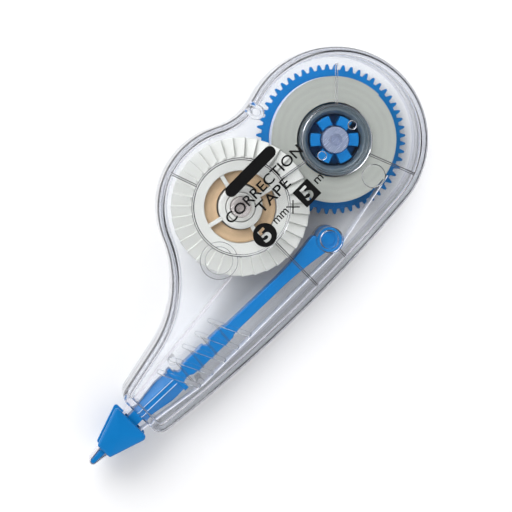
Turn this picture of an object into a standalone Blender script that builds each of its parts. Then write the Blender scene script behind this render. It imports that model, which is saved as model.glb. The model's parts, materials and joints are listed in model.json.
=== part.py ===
"""Correction tape roller: a clear two-shell case, a geared pair of reels and a flexible tip arm.

Frame: metres, +Z up, lying on its back shell. The origin is on the back shell's outer face, on the
supply reel's axis. +X runs from the writing tip to the round tail, and +Y towards the take-up reel.
"""

import math

import bmesh
import bpy
from mathutils import Vector

MM = 0.001

# Clearances
JOIN_GAP = 0.15 * MM        # between two pieces that are fixed to each other
RUN_GAP = 0.15 * MM         # round a turning piece, on the radius
SIDE_GAP = 0.35 * MM        # between a turning piece and its neighbour, along Z
FILM_GAP = 0.2 * MM         # between a film and what guides it
GEAR_TO_WALL = 1.775 * MM
FLANGE_TO_WALL = 1.2 * MM
FLANGE_TO_RIDGE = 1.9 * MM
EYE_TO_GEAR = 2.05 * MM
HEADROOM = 1.55 * MM        # above the take-up flange, for the front shell's ribs
OVERLAP = 0.4 * MM          # how deep a boss or rib sinks into the wall that it is moulded to

# Tape
TAPE_WIDTH = 5.0 * MM
FILM_THICKNESS = 0.15 * MM
PACK_RADIUS = 12.1 * MM     # the wound supply of tape
WINDING_RADIUS = 6.95 * MM  # the used backing on the take-up drum

# Gears
MODULE = 0.5 * MM
SUPPLY_TEETH = 56
TAKEUP_TEETH = 32
ADDENDUM = 0.85             # both in modules
DEDENDUM = 1.15
PRESSURE_ANGLE = math.radians(20)
BACKLASH = 0.14 * MM
GEAR_THICKNESS = 1.5 * MM
TAKEUP_DIRECTION = math.radians(170)

# Supply reel
SUPPLY_POST_RADIUS = 2.5 * MM
CORE_OUTER_RADIUS = 6.85 * MM
CORE_WALL = 1.9 * MM
CORE_FUNNEL_WIDTH = 1.25 * MM
CORE_FUNNEL_DEPTH = 1.1 * MM
CORE_PROUD = 0.9 * MM       # above the tape
FINGER_COUNT = 6
FINGER_WIDTH = 2.1 * MM
FINGER_RUN_GAP = 0.3 * MM
FINGER_BASE_HEIGHT = 1.0 * MM

# Take-up reel
TAKEUP_POST_RADIUS = 1.9 * MM
DRUM_RADIUS = 4.2 * MM
DRUM_NECK_WALL = 0.7 * MM
FLANGE_THICKNESS = 1.0 * MM
FLANGE_WINDOW_RADIUS = 6.9 * MM
FLANGE_RING_WIDTH = 2.3 * MM
FLANGE_SPOKES = 4
FLANGE_SPOKE_DIRECTION = math.radians(76)
FLANGE_SPOKE_WIDTH = 0.8 * MM
FLANGE_PLEATS = 35
FLANGE_PLEAT_HEIGHT = 0.5 * MM

# Case
WALL = 1.4 * MM
FLOOR = 1.3 * MM
EDGE_ROUND = 1.5 * MM
PARTING_Z = 6.5 * MM
LIP_HEIGHT = 0.8 * MM       # the back shell's lip stands inside the front shell's rim
LIP_INSET = 0.6 * MM
SADDLE_RADIUS = 12.0 * MM   # the hollow between the two round ends
THROAT_RADIUS = 22.0 * MM   # the hollow between the take-up end and the nose
SIDE_RADIUS = 300.0 * MM    # the long, nearly straight side
NOSE_X = -63.3 * MM
NOSE_HALF_HEIGHT = 5.25 * MM
NOSE_CORNER = 2.2 * MM
NOSE_LEAN = math.radians(11.56)
TIP_Y = -10.4 * MM
MOUTH_SIDE = 1.25 * MM      # what is left of the nose's end on each side of the mouth
CASE_ARC_STEP = math.radians(7)

# Bosses, ridges and ribs moulded to the shells
POST_BORE_RADIUS = 1.2 * MM
POST_BORE_DEPTH = 3.0 * MM
POST_COLLAR_WIDTH = 0.9 * MM
SPIGOT_RADIUS = 0.9 * MM
SPIGOT_TO_BORE_END = 0.8 * MM
UPPER_PIN_RADIUS = 0.85 * MM
LOWER_PIN_RADIUS = 0.7 * MM
SNAP_PIN_RADIUS = 0.75 * MM
SNAP_SOCKET_RADIUS = 1.45 * MM
SNAP_DEPTH = 1.5 * MM       # from the roof's inside down to the snap pin's end
SNAP_DIRECTION = math.radians(115.7)
RIDGE_WIDTH = 0.5 * MM
RIB_WIDTH = 0.5 * MM
RIB_DEPTH = 1.0 * MM
STUD_DEPTH = 0.4 * MM
GRIP_RIB_COUNT = 5
GRIP_RIB_PITCH = 3.4 * MM
GRIP_RIB_LENGTH = 7.0 * MM
GRIP_RIB_WIDTH = 0.9 * MM
GRIP_RIB_DEPTH = 1.6 * MM
GRIP_RIB_LEAN = math.radians(-65)

# Tip arm and head
EYE_DIRECTION = math.radians(-138.4)
EYE_RADIUS = 2.5 * MM
EYE_PEG_RADIUS = 1.2 * MM
ARM_HEIGHT = 4.0 * MM
ARM_HALF_WIDTH = 1.1 * MM
ARM_ROOT_HALF_WIDTH = 2.0 * MM
NOSE_TO_ARM = 3.75 * MM     # room beside the arm and its blade for the films and the flexing
NOSE_TO_BLADE = 2.85 * MM
ARM_START_RISE = 0.5 * MM   # from the eye's centre up to the arm's middle line
ARM_SAG = 0.15 * MM
BLADE_GROOVE_WIDTH = 0.3 * MM
BLADE_GROOVE_DEPTH = 0.6 * MM
BLADE_GROOVE_SPACING = 1.1 * MM
NECK_HALF_WIDTH = 1.2 * MM
HEAD_BACK_HALF_WIDTH = 4.3 * MM
HEAD_FRONT_HALF_WIDTH = 1.65 * MM
HEAD_WEB_HALF_WIDTH = 0.95 * MM
CHEEK_LENGTH = 7.8 * MM
CHEEK_THICKNESS = 1.1 * MM
CHEEK_GAP = 0.25 * MM       # from the tape's edge to each cheek
CHEEK_CORNER = 0.45 * MM
NIB_LENGTH = 3.2 * MM       # beyond the cheeks
NIB_HALF_WIDTH = 0.45 * MM

# Levels, from the back face upwards
GEAR_Z = FLOOR + 0.6 * MM
GEAR_TOP_Z = GEAR_Z + GEAR_THICKNESS
TAPE_Z = GEAR_TOP_Z + 0.5 * MM
TAPE_TOP_Z = TAPE_Z + TAPE_WIDTH
CORE_TOP_Z = TAPE_TOP_Z + CORE_PROUD
FLANGE_Z = TAPE_TOP_Z + SIDE_GAP
FLANGE_TOP_Z = FLANGE_Z + FLANGE_THICKNESS
PLEAT_TOP_Z = FLANGE_TOP_Z + FLANGE_PLEAT_HEIGHT
ROOF_Z = PLEAT_TOP_Z + HEADROOM
CASE_THICKNESS = ROOF_Z + FLOOR
POST_TOP_Z = ROOF_Z - 0.8 * MM
ARM_Z = TAPE_Z + (TAPE_WIDTH - ARM_HEIGHT) / 2
ARM_TOP_Z = ARM_Z + ARM_HEIGHT

# Radii that follow from what is inside
SUPPLY_PITCH_RADIUS = MODULE * SUPPLY_TEETH / 2
TAKEUP_PITCH_RADIUS = MODULE * TAKEUP_TEETH / 2
SUPPLY_TIP_RADIUS = SUPPLY_PITCH_RADIUS + ADDENDUM * MODULE
CENTRE_DISTANCE = SUPPLY_PITCH_RADIUS + TAKEUP_PITCH_RADIUS
CORE_INNER_RADIUS = CORE_OUTER_RADIUS - CORE_WALL
SUPPLY_RIDGE_RADIUS = CORE_OUTER_RADIUS
DRUM_NECK_RADIUS = TAKEUP_POST_RADIUS + RUN_GAP + DRUM_NECK_WALL
FLANGE_RING_RADIUS = FLANGE_WINDOW_RADIUS + FLANGE_RING_WIDTH
FLANGE_RADIUS = CENTRE_DISTANCE - SUPPLY_RIDGE_RADIUS - FLANGE_TO_RIDGE
TAKEUP_RIDGE_RADIUS = FLANGE_RING_RADIUS + 0.2 * MM
SUPPLY_END_RADIUS = SUPPLY_TIP_RADIUS + GEAR_TO_WALL + WALL
TAKEUP_END_RADIUS = FLANGE_RADIUS + FLANGE_TO_WALL + WALL

# Places along the nose, counted from its front
HEAD_BACK_X = NOSE_X - 1.9 * MM
NECK_END_X = HEAD_BACK_X - 1.2 * MM
HEAD_FRONT_X = HEAD_BACK_X - CHEEK_LENGTH
NIB_END_X = HEAD_FRONT_X - NIB_LENGTH
BLADE_FRONT_X = NOSE_X + 0.7 * MM
BLADE_WIDE_X = NOSE_X + 6.3 * MM
BLADE_BACK_X = NOSE_X + 9.8 * MM
ARM_THICK_X = NOSE_X + 23.8 * MM
GRIP_RIB_FIRST = Vector((NOSE_X + 24.8 * MM, TIP_Y - 0.6 * MM))
UPPER_PIN = Vector((NOSE_X + 11.7 * MM, TIP_Y + NOSE_HALF_HEIGHT - 2.55 * MM))
LOWER_PIN = Vector((NOSE_X + 12.7 * MM, TIP_Y - NOSE_HALF_HEIGHT + 1.5 * MM))
MOUTH_HALF_WIDTH = NOSE_HALF_HEIGHT - MOUTH_SIDE
ARM_THICK_HALF_WIDTH = NOSE_HALF_HEIGHT - NOSE_TO_ARM
BLADE_HALF_WIDTH = NOSE_HALF_HEIGHT - NOSE_TO_BLADE


def direction(angle):
    return Vector((math.cos(angle), math.sin(angle)))


SUPPLY_CENTRE = Vector((0.0, 0.0))
TAKEUP_CENTRE = CENTRE_DISTANCE * direction(TAKEUP_DIRECTION)
EYE_CENTRE = (SUPPLY_TIP_RADIUS + EYE_TO_GEAR + EYE_RADIUS) * direction(EYE_DIRECTION)
SNAP_PIN = (SUPPLY_END_RADIUS - WALL - 0.25 * MM) * direction(SNAP_DIRECTION)
NOSE_TOP = Vector((NOSE_X, TIP_Y + NOSE_HALF_HEIGHT))
NOSE_BOTTOM = Vector((NOSE_X, TIP_Y - NOSE_HALF_HEIGHT))


# ---------------------------------------------------------------- points and outlines


def angle_of(vector):
    return math.atan2(vector.y, vector.x)


def arc(centre, radius, start, end, step=CASE_ARC_STEP):
    """Points from start to end on an arc; it runs clockwise where end is less than start."""
    count = max(2, round(abs(end - start) / step))
    return [centre + radius * direction(start + (end - start) * i / count) for i in range(count + 1)]


def circle(centre, radius, steps=40):
    return [centre + radius * direction(2 * math.pi * i / steps) for i in range(steps)]


def centre_touching(first, first_reach, second, second_reach):
    """The point at the two given distances from two centres, on the +Y side of their line."""
    apart = (second - first).length
    along = (first_reach**2 - second_reach**2 + apart**2) / (2 * apart)
    across = math.sqrt(first_reach**2 - along**2)
    unit = (second - first) / apart
    sideways = Vector((unit.y, -unit.x))
    if sideways.y < 0:
        sideways = -sideways
    return first + along * unit + across * sideways


def throat_radius():
    """The hollow's radius, limited so that it ends behind the nose's upper corner."""
    above = direction(NOSE_LEAN + math.pi / 2)
    to_corner = NOSE_TOP + NOSE_CORNER * direction(NOSE_LEAN) - TAKEUP_CENTRE
    spare = to_corner.length_squared - TAKEUP_END_RADIUS**2
    return min(THROAT_RADIUS, spare / (2 * (TAKEUP_END_RADIUS - above.dot(to_corner))))


def throat_centre(radius):
    """The centre of the hollow that touches the take-up end outside and the nose's upper line."""
    along = direction(NOSE_LEAN)
    start = NOSE_TOP + radius * direction(NOSE_LEAN + math.pi / 2)
    reach = TAKEUP_END_RADIUS + radius
    to_start = start - TAKEUP_CENTRE
    middle = to_start.dot(along)
    travel = -middle - math.sqrt(middle**2 - to_start.length_squared + reach**2)
    return start + along * travel


def case_outline(inset):
    """The case's outline, this far inside its outer wall, anticlockwise from the nose's lower corner."""
    side_centre = centre_touching(SUPPLY_CENTRE, SIDE_RADIUS - SUPPLY_END_RADIUS, NOSE_BOTTOM, SIDE_RADIUS)
    saddle_centre = centre_touching(
        SUPPLY_CENTRE, SUPPLY_END_RADIUS + SADDLE_RADIUS, TAKEUP_CENTRE, TAKEUP_END_RADIUS + SADDLE_RADIUS
    )
    hollow = throat_radius()
    throat = throat_centre(hollow)
    corner_x = NOSE_X + NOSE_CORNER
    corner_reach = SIDE_RADIUS - NOSE_CORNER
    low_corner = Vector(
        (corner_x, side_centre.y - math.sqrt(corner_reach**2 - (corner_x - side_centre.x) ** 2))
    )
    rise = NOSE_CORNER * (math.tan(NOSE_LEAN) - 1 / math.cos(NOSE_LEAN))
    high_corner = Vector((corner_x, NOSE_TOP.y + rise))
    half_turn = math.pi
    side_start = angle_of(low_corner - side_centre)
    side_end = angle_of(SUPPLY_CENTRE - side_centre)
    to_saddle = angle_of(saddle_centre - SUPPLY_CENTRE)
    saddle_to_takeup = angle_of(TAKEUP_CENTRE - saddle_centre)
    throat_to_takeup = angle_of(TAKEUP_CENTRE - throat)
    bump_start = angle_of(saddle_centre - TAKEUP_CENTRE)
    bump_end = angle_of(throat - TAKEUP_CENTRE)
    up = math.pi / 2
    points = arc(low_corner, NOSE_CORNER - inset, half_turn, side_start + 2 * half_turn)
    points += arc(side_centre, SIDE_RADIUS - inset, side_start, side_end, math.radians(0.9))[1:]
    points += arc(SUPPLY_CENTRE, SUPPLY_END_RADIUS - inset, side_end, to_saddle)[1:]
    points += arc(saddle_centre, SADDLE_RADIUS + inset, to_saddle - half_turn, saddle_to_takeup)[1:]
    points += arc(TAKEUP_CENTRE, TAKEUP_END_RADIUS - inset, bump_start, bump_end)[1:]
    points += arc(throat, hollow + inset, throat_to_takeup, NOSE_LEAN - up)[1:]
    points += arc(high_corner, NOSE_CORNER - inset, up + NOSE_LEAN, half_turn)
    return points


def reach_to_wall(start, out):
    """How far the middle of the case's wall is from a point inside it, in the given direction."""
    outline = case_outline(WALL / 2)
    across = Vector((-out.y, out.x))
    reaches = []
    for a, b in zip(outline, outline[1:] + outline[:1]):
        side_a = (a - start).dot(across)
        side_b = (b - start).dot(across)
        if side_a * side_b <= 0 and side_a != side_b:
            crossing = a + (b - a) * (side_a / (side_a - side_b))
            reaches.append((crossing - start).dot(out))
    return min(reach for reach in reaches if reach > 0)


def gear_outline(centre, teeth, tooth_at):
    """Involute teeth with backlash; one tooth is centred on the angle tooth_at."""
    pitch = MODULE * teeth / 2
    base = pitch * math.cos(PRESSURE_ANGLE)
    tip = pitch + ADDENDUM * MODULE
    root = pitch - DEDENDUM * MODULE

    def involute(radius):
        turn = math.acos(min(1.0, base / radius))
        return math.tan(turn) - turn

    half_at_pitch = math.pi / (2 * teeth) - BACKLASH / (2 * pitch)

    def half_angle(radius):
        return half_at_pitch + involute(pitch) - involute(max(radius, base))

    flank = [root, pitch - 0.1 * MODULE, tip]
    points = []
    for i in range(teeth):
        middle = tooth_at + 2 * math.pi * i / teeth
        points += [centre + r * direction(middle - half_angle(r)) for r in flank]
        points += [centre + r * direction(middle + half_angle(r)) for r in reversed(flank)]
    return points


def arm_centre_y(x):
    """The arm runs, with a slight sag, from its eye to the writing tip's own line."""
    share = (x - EYE_CENTRE.x) / (HEAD_BACK_X - EYE_CENTRE.x)
    start = EYE_CENTRE.y + ARM_START_RISE
    return start + (TIP_Y - start) * share - 4 * ARM_SAG * share * (1 - share)


def tangent_points(first, first_radius, first_side, second, second_radius, second_side):
    """Where a straight film leaves one round guide and meets the next.

    A side is +1 where the film passes on the left of the guide's centre, looking along its travel,
    and -1 where it passes on the right.
    """
    apart = second - first
    lean = math.asin((second_side * second_radius - first_side * first_radius) / apart.length)
    normal = direction(angle_of(apart) + math.pi / 2 + lean)
    return first + first_side * first_radius * normal, second + second_side * second_radius * normal


def strip_outline(path, thickness):
    """The outline of a thin film whose middle follows path."""
    left, right = [], []
    for i, point in enumerate(path):
        along = (path[min(i + 1, len(path) - 1)] - path[max(i - 1, 0)]).normalized()
        across = Vector((-along.y, along.x)) * thickness / 2
        left.append(point + across)
        right.append(point - across)
    return right + left[::-1]


# ---------------------------------------------------------------- solids


def material(name, colour, roughness, alpha=1.0):
    made = bpy.data.materials.new(name)
    made.use_nodes = True
    shader = made.node_tree.nodes["Principled BSDF"]
    shader.inputs["Base Color"].default_value = (*colour, 1.0)
    shader.inputs["Roughness"].default_value = roughness
    shader.inputs["Metallic"].default_value = 0.0
    shader.inputs["Alpha"].default_value = alpha
    made.diffuse_color = (*colour, alpha)
    return made


def loft(name, loops, closed_round=False):
    """A solid through loops of equal length; its ends are capped, or joined to each other."""
    bm = bmesh.new()
    rows = [[bm.verts.new(point) for point in loop] for loop in loops]
    count = len(rows[0])
    pairs = list(zip(rows, rows[1:]))
    if closed_round:
        pairs.append((rows[-1], rows[0]))
    for low, high in pairs:
        for i in range(count):
            j = (i + 1) % count
            bm.faces.new((low[i], low[j], high[j], high[i]))
    if not closed_round:
        bm.faces.new(rows[0][::-1])
        bm.faces.new(rows[-1])
    bmesh.ops.recalc_face_normals(bm, faces=bm.faces)
    mesh = bpy.data.meshes.new(name)
    bm.to_mesh(mesh)
    bm.free()
    made = bpy.data.objects.new(name, mesh)
    bpy.context.scene.collection.objects.link(made)
    return made


def level(outline, z):
    return [Vector((point.x, point.y, z)) for point in outline]


def prism(name, outline, low, high):
    return loft(name, [level(outline, low), level(outline, high)])


def turned(name, centre, profile, steps=40):
    """A ring turned round a Z axis at centre, from a closed profile of (radius, height)."""
    loops = [level(circle(centre, radius, steps), z) for radius, z in profile]
    return loft(name, loops, closed_round=True)


def ring(name, centre, inner, outer, low, high, steps=40):
    return turned(name, centre, [(inner, low), (outer, low), (outer, high), (inner, high)], steps)


def bar(name, start, end, width, low, high):
    """A straight rib between two points."""
    across = (end - start).normalized().orthogonal() * width / 2
    return prism(name, [start - across, end - across, end + across, start + across], low, high)


def capsule_outline(middle, length, width, lean):
    along = direction(lean) * (length - width) / 2
    quarter = math.pi / 2
    first = arc(middle + along, width / 2, lean - quarter, lean + quarter, math.radians(30))
    last = arc(middle - along, width / 2, lean + quarter, lean + 3 * quarter, math.radians(30))
    return first + last


def rounded_outline(corners, radius):
    """A convex polygon, anticlockwise, with its corners rounded."""
    points = []
    for i, corner in enumerate(corners):
        before = (corners[i - 1] - corner).normalized()
        after = (corners[(i + 1) % len(corners)] - corner).normalized()
        half = math.acos(before.dot(after)) / 2
        middle = corner + (before + after).normalized() * radius / math.sin(half)
        start = angle_of(-Vector((-before.y, before.x)))
        swing = math.pi - 2 * half
        points += arc(middle, radius, start + math.pi, start + math.pi + swing, math.radians(25))
    return points


def combine(body, tools, operation):
    """Adds or cuts the tools, which stay in the scene as hidden helpers."""
    for tool in tools:
        tool.hide_render = True
        tool.display_type = "WIRE"
        modifier = body.modifiers.new(tool.name, "BOOLEAN")
        modifier.operation = operation
        modifier.solver = "EXACT"
        modifier.object = tool
    return body


def finish(body, finish_material, smooth_angle=math.radians(35)):
    body.data.materials.append(finish_material)
    body.data.shade_smooth()
    body.data.set_sharp_from_angle(angle=smooth_angle)
    return body


# ---------------------------------------------------------------- case


def shell_loops(face_z, floor_z, rim_z, step_z, step_inset):
    """Loops of a tray with a rounded outer edge and a stepped rim, from its outer face round to its floor."""
    towards = 1 if rim_z > face_z else -1
    loops = []
    edge_steps = 4
    for i in range(edge_steps + 1):
        swing = math.pi / 2 * i / edge_steps
        inset = EDGE_ROUND * (1 - math.sin(swing))
        loops.append(level(case_outline(inset), face_z + towards * EDGE_ROUND * (1 - math.cos(swing))))
    loops.append(level(case_outline(0), rim_z))
    loops.append(level(case_outline(step_inset), rim_z))
    loops.append(level(case_outline(step_inset), step_z))
    loops.append(level(case_outline(WALL), step_z))
    loops.append(level(case_outline(WALL), floor_z))
    return loops


def mouth_cutter(name):
    """The slot in the nose through which the neck and both films pass."""
    outline = [
        Vector((NOSE_X - WALL, TIP_Y - MOUTH_HALF_WIDTH)),
        Vector((NOSE_X + 2 * WALL, TIP_Y - MOUTH_HALF_WIDTH)),
        Vector((NOSE_X + 2 * WALL, TIP_Y + MOUTH_HALF_WIDTH)),
        Vector((NOSE_X - WALL, TIP_Y + MOUTH_HALF_WIDTH)),
    ]
    margin = 0.6 * MM
    return prism(name, outline, TAPE_Z - margin, TAPE_TOP_Z + margin)


def back_cover(clear):
    """The lower shell, with the reel posts, the arm's peg and the guide and snap pins."""
    lip_top_z = PARTING_Z + LIP_HEIGHT
    body = loft("back_cover", shell_loops(0.0, FLOOR, PARTING_Z, lip_top_z, LIP_INSET + JOIN_GAP))
    root_z = FLOOR - OVERLAP
    guide_top_z = TAPE_TOP_Z + 0.3 * MM
    added = []
    for label, centre, radius in (
        ("supply", SUPPLY_CENTRE, SUPPLY_POST_RADIUS),
        ("takeup", TAKEUP_CENTRE, TAKEUP_POST_RADIUS),
    ):
        added.append(prism(label + "_post", circle(centre, radius), root_z, POST_TOP_Z))
        collar = radius + POST_COLLAR_WIDTH
        added.append(prism(label + "_post_collar", circle(centre, collar), root_z, GEAR_Z - 0.2 * MM))
    added.append(prism("eye_peg", circle(EYE_CENTRE, EYE_PEG_RADIUS, 24), root_z, ARM_TOP_Z + 0.3 * MM))
    added.append(prism("eye_seat", circle(EYE_CENTRE, EYE_RADIUS, 24), root_z, ARM_Z - SIDE_GAP))
    for label, centre, radius in (
        ("upper", UPPER_PIN, UPPER_PIN_RADIUS),
        ("lower", LOWER_PIN, LOWER_PIN_RADIUS),
    ):
        added.append(prism(label + "_guide_pin", circle(centre, radius, 16), root_z, guide_top_z))
    added.append(prism("snap_pin", circle(SNAP_PIN, SNAP_PIN_RADIUS, 16), root_z, ROOF_Z - SNAP_DEPTH))
    combine(body, added, "UNION")
    bore_z = POST_TOP_Z - POST_BORE_DEPTH
    above = POST_TOP_Z + OVERLAP
    cut = [
        prism(label + "_post_bore", circle(centre, POST_BORE_RADIUS, 24), bore_z, above)
        for label, centre in (("supply", SUPPLY_CENTRE), ("takeup", TAKEUP_CENTRE))
    ]
    cut.append(mouth_cutter("back_mouth"))
    combine(body, cut, "DIFFERENCE")
    return finish(body, clear)


def front_ribs(ceiling):
    """The ridges over both reels and the stiffening ribs that run out from them."""
    made = [
        ring("supply_ridge", SUPPLY_CENTRE, SUPPLY_RIDGE_RADIUS - RIDGE_WIDTH, SUPPLY_RIDGE_RADIUS,
             CORE_TOP_Z + SIDE_GAP, ceiling),
        ring("takeup_ridge", TAKEUP_CENTRE, TAKEUP_RIDGE_RADIUS - RIDGE_WIDTH, TAKEUP_RIDGE_RADIUS,
             PLEAT_TOP_Z + SIDE_GAP, ceiling),
        ring("eye_ridge", EYE_CENTRE, EYE_PEG_RADIUS + RIDGE_WIDTH, EYE_RADIUS, ARM_TOP_Z + SIDE_GAP, ceiling, 24),
    ]
    supply_start = SUPPLY_RIDGE_RADIUS - RIDGE_WIDTH / 2
    takeup_start = TAKEUP_RIDGE_RADIUS - RIDGE_WIDTH / 2
    eye_start = EYE_RADIUS - RIDGE_WIDTH / 2
    for label, centre, degrees, start, end in (
        ("tail_rib", SUPPLY_CENTRE, 44.5, supply_start, SUPPLY_TIP_RADIUS),
        ("side_rib", SUPPLY_CENTRE, -68.7, supply_start, None),
        ("bridge_rib", SUPPLY_CENTRE, math.degrees(TAKEUP_DIRECTION), supply_start, CENTRE_DISTANCE - takeup_start),
        ("cross_rib", TAKEUP_CENTRE, -91.0, takeup_start, None),
        ("crown_rib", TAKEUP_CENTRE, 109.0, takeup_start, None),
        ("eye_rib", EYE_CENTRE, -92.0, eye_start, None),
    ):
        out = direction(math.radians(degrees))
        end = end or reach_to_wall(centre, out)
        rib_z = ROOF_Z - RIB_DEPTH
        made.append(bar(label, centre + start * out, centre + end * out, RIB_WIDTH, rib_z, ceiling))
    return made


def front_cover(clear):
    """The upper shell: ridges that keep the reels down, ribs, spigots, sockets and the nose's guide ribs."""
    rim_z = PARTING_Z + JOIN_GAP
    body = loft("front_cover", shell_loops(CASE_THICKNESS, ROOF_Z, rim_z, rim_z + LIP_HEIGHT, LIP_INSET))
    ceiling = ROOF_Z + OVERLAP
    added = front_ribs(ceiling)
    for label, centre in (("supply", SUPPLY_CENTRE), ("takeup", TAKEUP_CENTRE)):
        spigot_z = POST_TOP_Z - POST_BORE_DEPTH + SPIGOT_TO_BORE_END
        added.append(prism(label + "_spigot", circle(centre, SPIGOT_RADIUS, 24), spigot_z, ceiling))
    socket_z = ROOF_Z - 2 * SNAP_DEPTH
    added.append(prism("snap_socket", circle(SNAP_PIN, SNAP_SOCKET_RADIUS, 24), socket_z, ceiling))
    for label, centre, degrees, reach, radius in (
        ("takeup_stud", TAKEUP_CENTRE, 202.0, 10.9 * MM, 2.8 * MM),
        ("supply_stud", SUPPLY_CENTRE, -89.0, 9.9 * MM, 2.3 * MM),
        ("hub_stud_front", SUPPLY_CENTRE, -2.4, 4.15 * MM, 0.9 * MM),
        ("hub_stud_rear", SUPPLY_CENTRE, 182.6, 4.0 * MM, 0.9 * MM),
    ):
        middle = centre + reach * direction(math.radians(degrees))
        added.append(prism(label, circle(middle, radius, 24), ROOF_Z - STUD_DEPTH, ceiling))
    for i in range(GRIP_RIB_COUNT):
        middle = GRIP_RIB_FIRST - Vector((i * GRIP_RIB_PITCH, 0))
        outline = capsule_outline(middle, GRIP_RIB_LENGTH, GRIP_RIB_WIDTH, GRIP_RIB_LEAN)
        added.append(prism(f"nose_rib_{i + 1}", outline, ROOF_Z - GRIP_RIB_DEPTH, ceiling))
    combine(body, added, "UNION")
    hole = circle(SNAP_PIN, SNAP_PIN_RADIUS + JOIN_GAP, 16)
    hole_top_z = ROOF_Z - SNAP_DEPTH + JOIN_GAP
    combine(body, [
        prism("snap_hole", hole, PARTING_Z - OVERLAP, hole_top_z),
        mouth_cutter("front_mouth"),
    ], "DIFFERENCE")
    return finish(body, clear)


# ---------------------------------------------------------------- supply reel


def supply_gear(blue):
    """The drive gear, with a hub of springy fingers that grip the core and slip when pulled hard."""
    body = prism("supply_gear", gear_outline(SUPPLY_CENTRE, SUPPLY_TEETH, TAKEUP_DIRECTION), GEAR_Z, GEAR_TOP_Z)
    bore = SUPPLY_POST_RADIUS + RUN_GAP
    grip = CORE_INNER_RADIUS - FINGER_RUN_GAP
    base_z = TAPE_Z + FINGER_BASE_HEIGHT
    added = [ring("finger_base", SUPPLY_CENTRE, bore, grip, GEAR_TOP_Z - OVERLAP, base_z)]
    for i in range(FINGER_COUNT):
        angle = 2 * math.pi * i / FINGER_COUNT + math.radians(-45)
        half = math.asin(FINGER_WIDTH / 2 / grip)
        outer = arc(SUPPLY_CENTRE, grip, angle - half, angle + half, half / 2)
        inner_half = math.asin(FINGER_WIDTH / 2 / (bore + 0.2 * MM))
        inner = arc(SUPPLY_CENTRE, bore + 0.1 * MM, angle + inner_half, angle - inner_half, inner_half)
        added.append(prism(f"finger_{i + 1}", outer + inner, base_z - OVERLAP, CORE_TOP_Z))
    combine(body, added, "UNION")
    hole = prism("supply_gear_bore", circle(SUPPLY_CENTRE, bore), GEAR_Z - OVERLAP, GEAR_TOP_Z + OVERLAP)
    combine(body, [hole], "DIFFERENCE")
    return finish(body, blue)


def supply_core(smoke):
    """The bobbin: a thick tube with a funnel at its open end."""
    profile = [
        (CORE_INNER_RADIUS, GEAR_TOP_Z + SIDE_GAP),
        (CORE_OUTER_RADIUS, GEAR_TOP_Z + SIDE_GAP),
        (CORE_OUTER_RADIUS, CORE_TOP_Z),
        (CORE_INNER_RADIUS + CORE_FUNNEL_WIDTH, CORE_TOP_Z),
        (CORE_INNER_RADIUS, CORE_TOP_Z - CORE_FUNNEL_DEPTH),
    ]
    return finish(turned("supply_core", SUPPLY_CENTRE, profile, 56), smoke)


def supply_tape(paper):
    inner = CORE_OUTER_RADIUS + JOIN_GAP
    return finish(ring("supply_tape", SUPPLY_CENTRE, inner, PACK_RADIUS, TAPE_Z, TAPE_TOP_Z, 64), paper)


# ---------------------------------------------------------------- take-up reel


def takeup_drum(white):
    """The drum on which the used backing winds, moulded with its pinion."""
    gap_at = TAKEUP_DIRECTION + math.pi
    tooth_at = gap_at + math.pi / TAKEUP_TEETH
    body = prism("takeup_drum", gear_outline(TAKEUP_CENTRE, TAKEUP_TEETH, tooth_at), GEAR_Z, GEAR_TOP_Z)
    neck_top_z = FLANGE_TOP_Z + 0.2 * MM
    combine(body, [
        prism("drum_wall", circle(TAKEUP_CENTRE, DRUM_RADIUS), GEAR_TOP_Z - OVERLAP, TAPE_TOP_Z),
        prism("drum_neck", circle(TAKEUP_CENTRE, DRUM_NECK_RADIUS), TAPE_TOP_Z - OVERLAP, neck_top_z),
    ], "UNION")
    bore = circle(TAKEUP_CENTRE, TAKEUP_POST_RADIUS + RUN_GAP)
    combine(body, [prism("drum_bore", bore, GEAR_Z - OVERLAP, neck_top_z + OVERLAP)], "DIFFERENCE")
    return finish(body, white)


def pleat_loop(radius, low_z, high_z):
    """One circle of the flange's pleated rim: each pleat is a low point and a high one."""
    points = []
    for i in range(2 * FLANGE_PLEATS):
        flat = TAKEUP_CENTRE + radius * direction(math.pi * i / FLANGE_PLEATS)
        points.append(Vector((flat.x, flat.y, low_z if i % 2 else high_z)))
    return points


def takeup_flange(white):
    """A windowed disc with a pleated rim, pressed on the drum's neck; it keeps both coils of tape flat."""
    hub_bore = DRUM_NECK_RADIUS + JOIN_GAP
    low_z = FLANGE_Z
    top_z = FLANGE_TOP_Z
    steps = 2 * FLANGE_PLEATS
    rim_z = top_z - 0.3 * MM
    body = loft("takeup_flange", [
        level(circle(TAKEUP_CENTRE, FLANGE_WINDOW_RADIUS, steps), low_z),
        level(circle(TAKEUP_CENTRE, FLANGE_RADIUS, steps), low_z),
        pleat_loop(FLANGE_RADIUS, rim_z, rim_z + FLANGE_PLEAT_HEIGHT / 2),
        pleat_loop(FLANGE_RING_RADIUS + 0.3 * MM, top_z, PLEAT_TOP_Z),
        level(circle(TAKEUP_CENTRE, FLANGE_RING_RADIUS, steps), top_z),
        level(circle(TAKEUP_CENTRE, FLANGE_WINDOW_RADIUS, steps), top_z),
    ], closed_round=True)
    added = [ring("flange_hub", TAKEUP_CENTRE, hub_bore, DRUM_RADIUS, low_z, top_z + 0.2 * MM)]
    for i in range(FLANGE_SPOKES):
        out = direction(FLANGE_SPOKE_DIRECTION + 2 * math.pi * i / FLANGE_SPOKES)
        start = TAKEUP_CENTRE + (DRUM_RADIUS - OVERLAP) * out
        end = TAKEUP_CENTRE + (FLANGE_WINDOW_RADIUS + OVERLAP) * out
        inset = 0.1 * MM
        added.append(bar(f"spoke_{i + 1}", start, end, FLANGE_SPOKE_WIDTH, low_z + inset, top_z - inset))
    combine(body, added, "UNION")
    return finish(body, white, math.radians(12))


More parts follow.
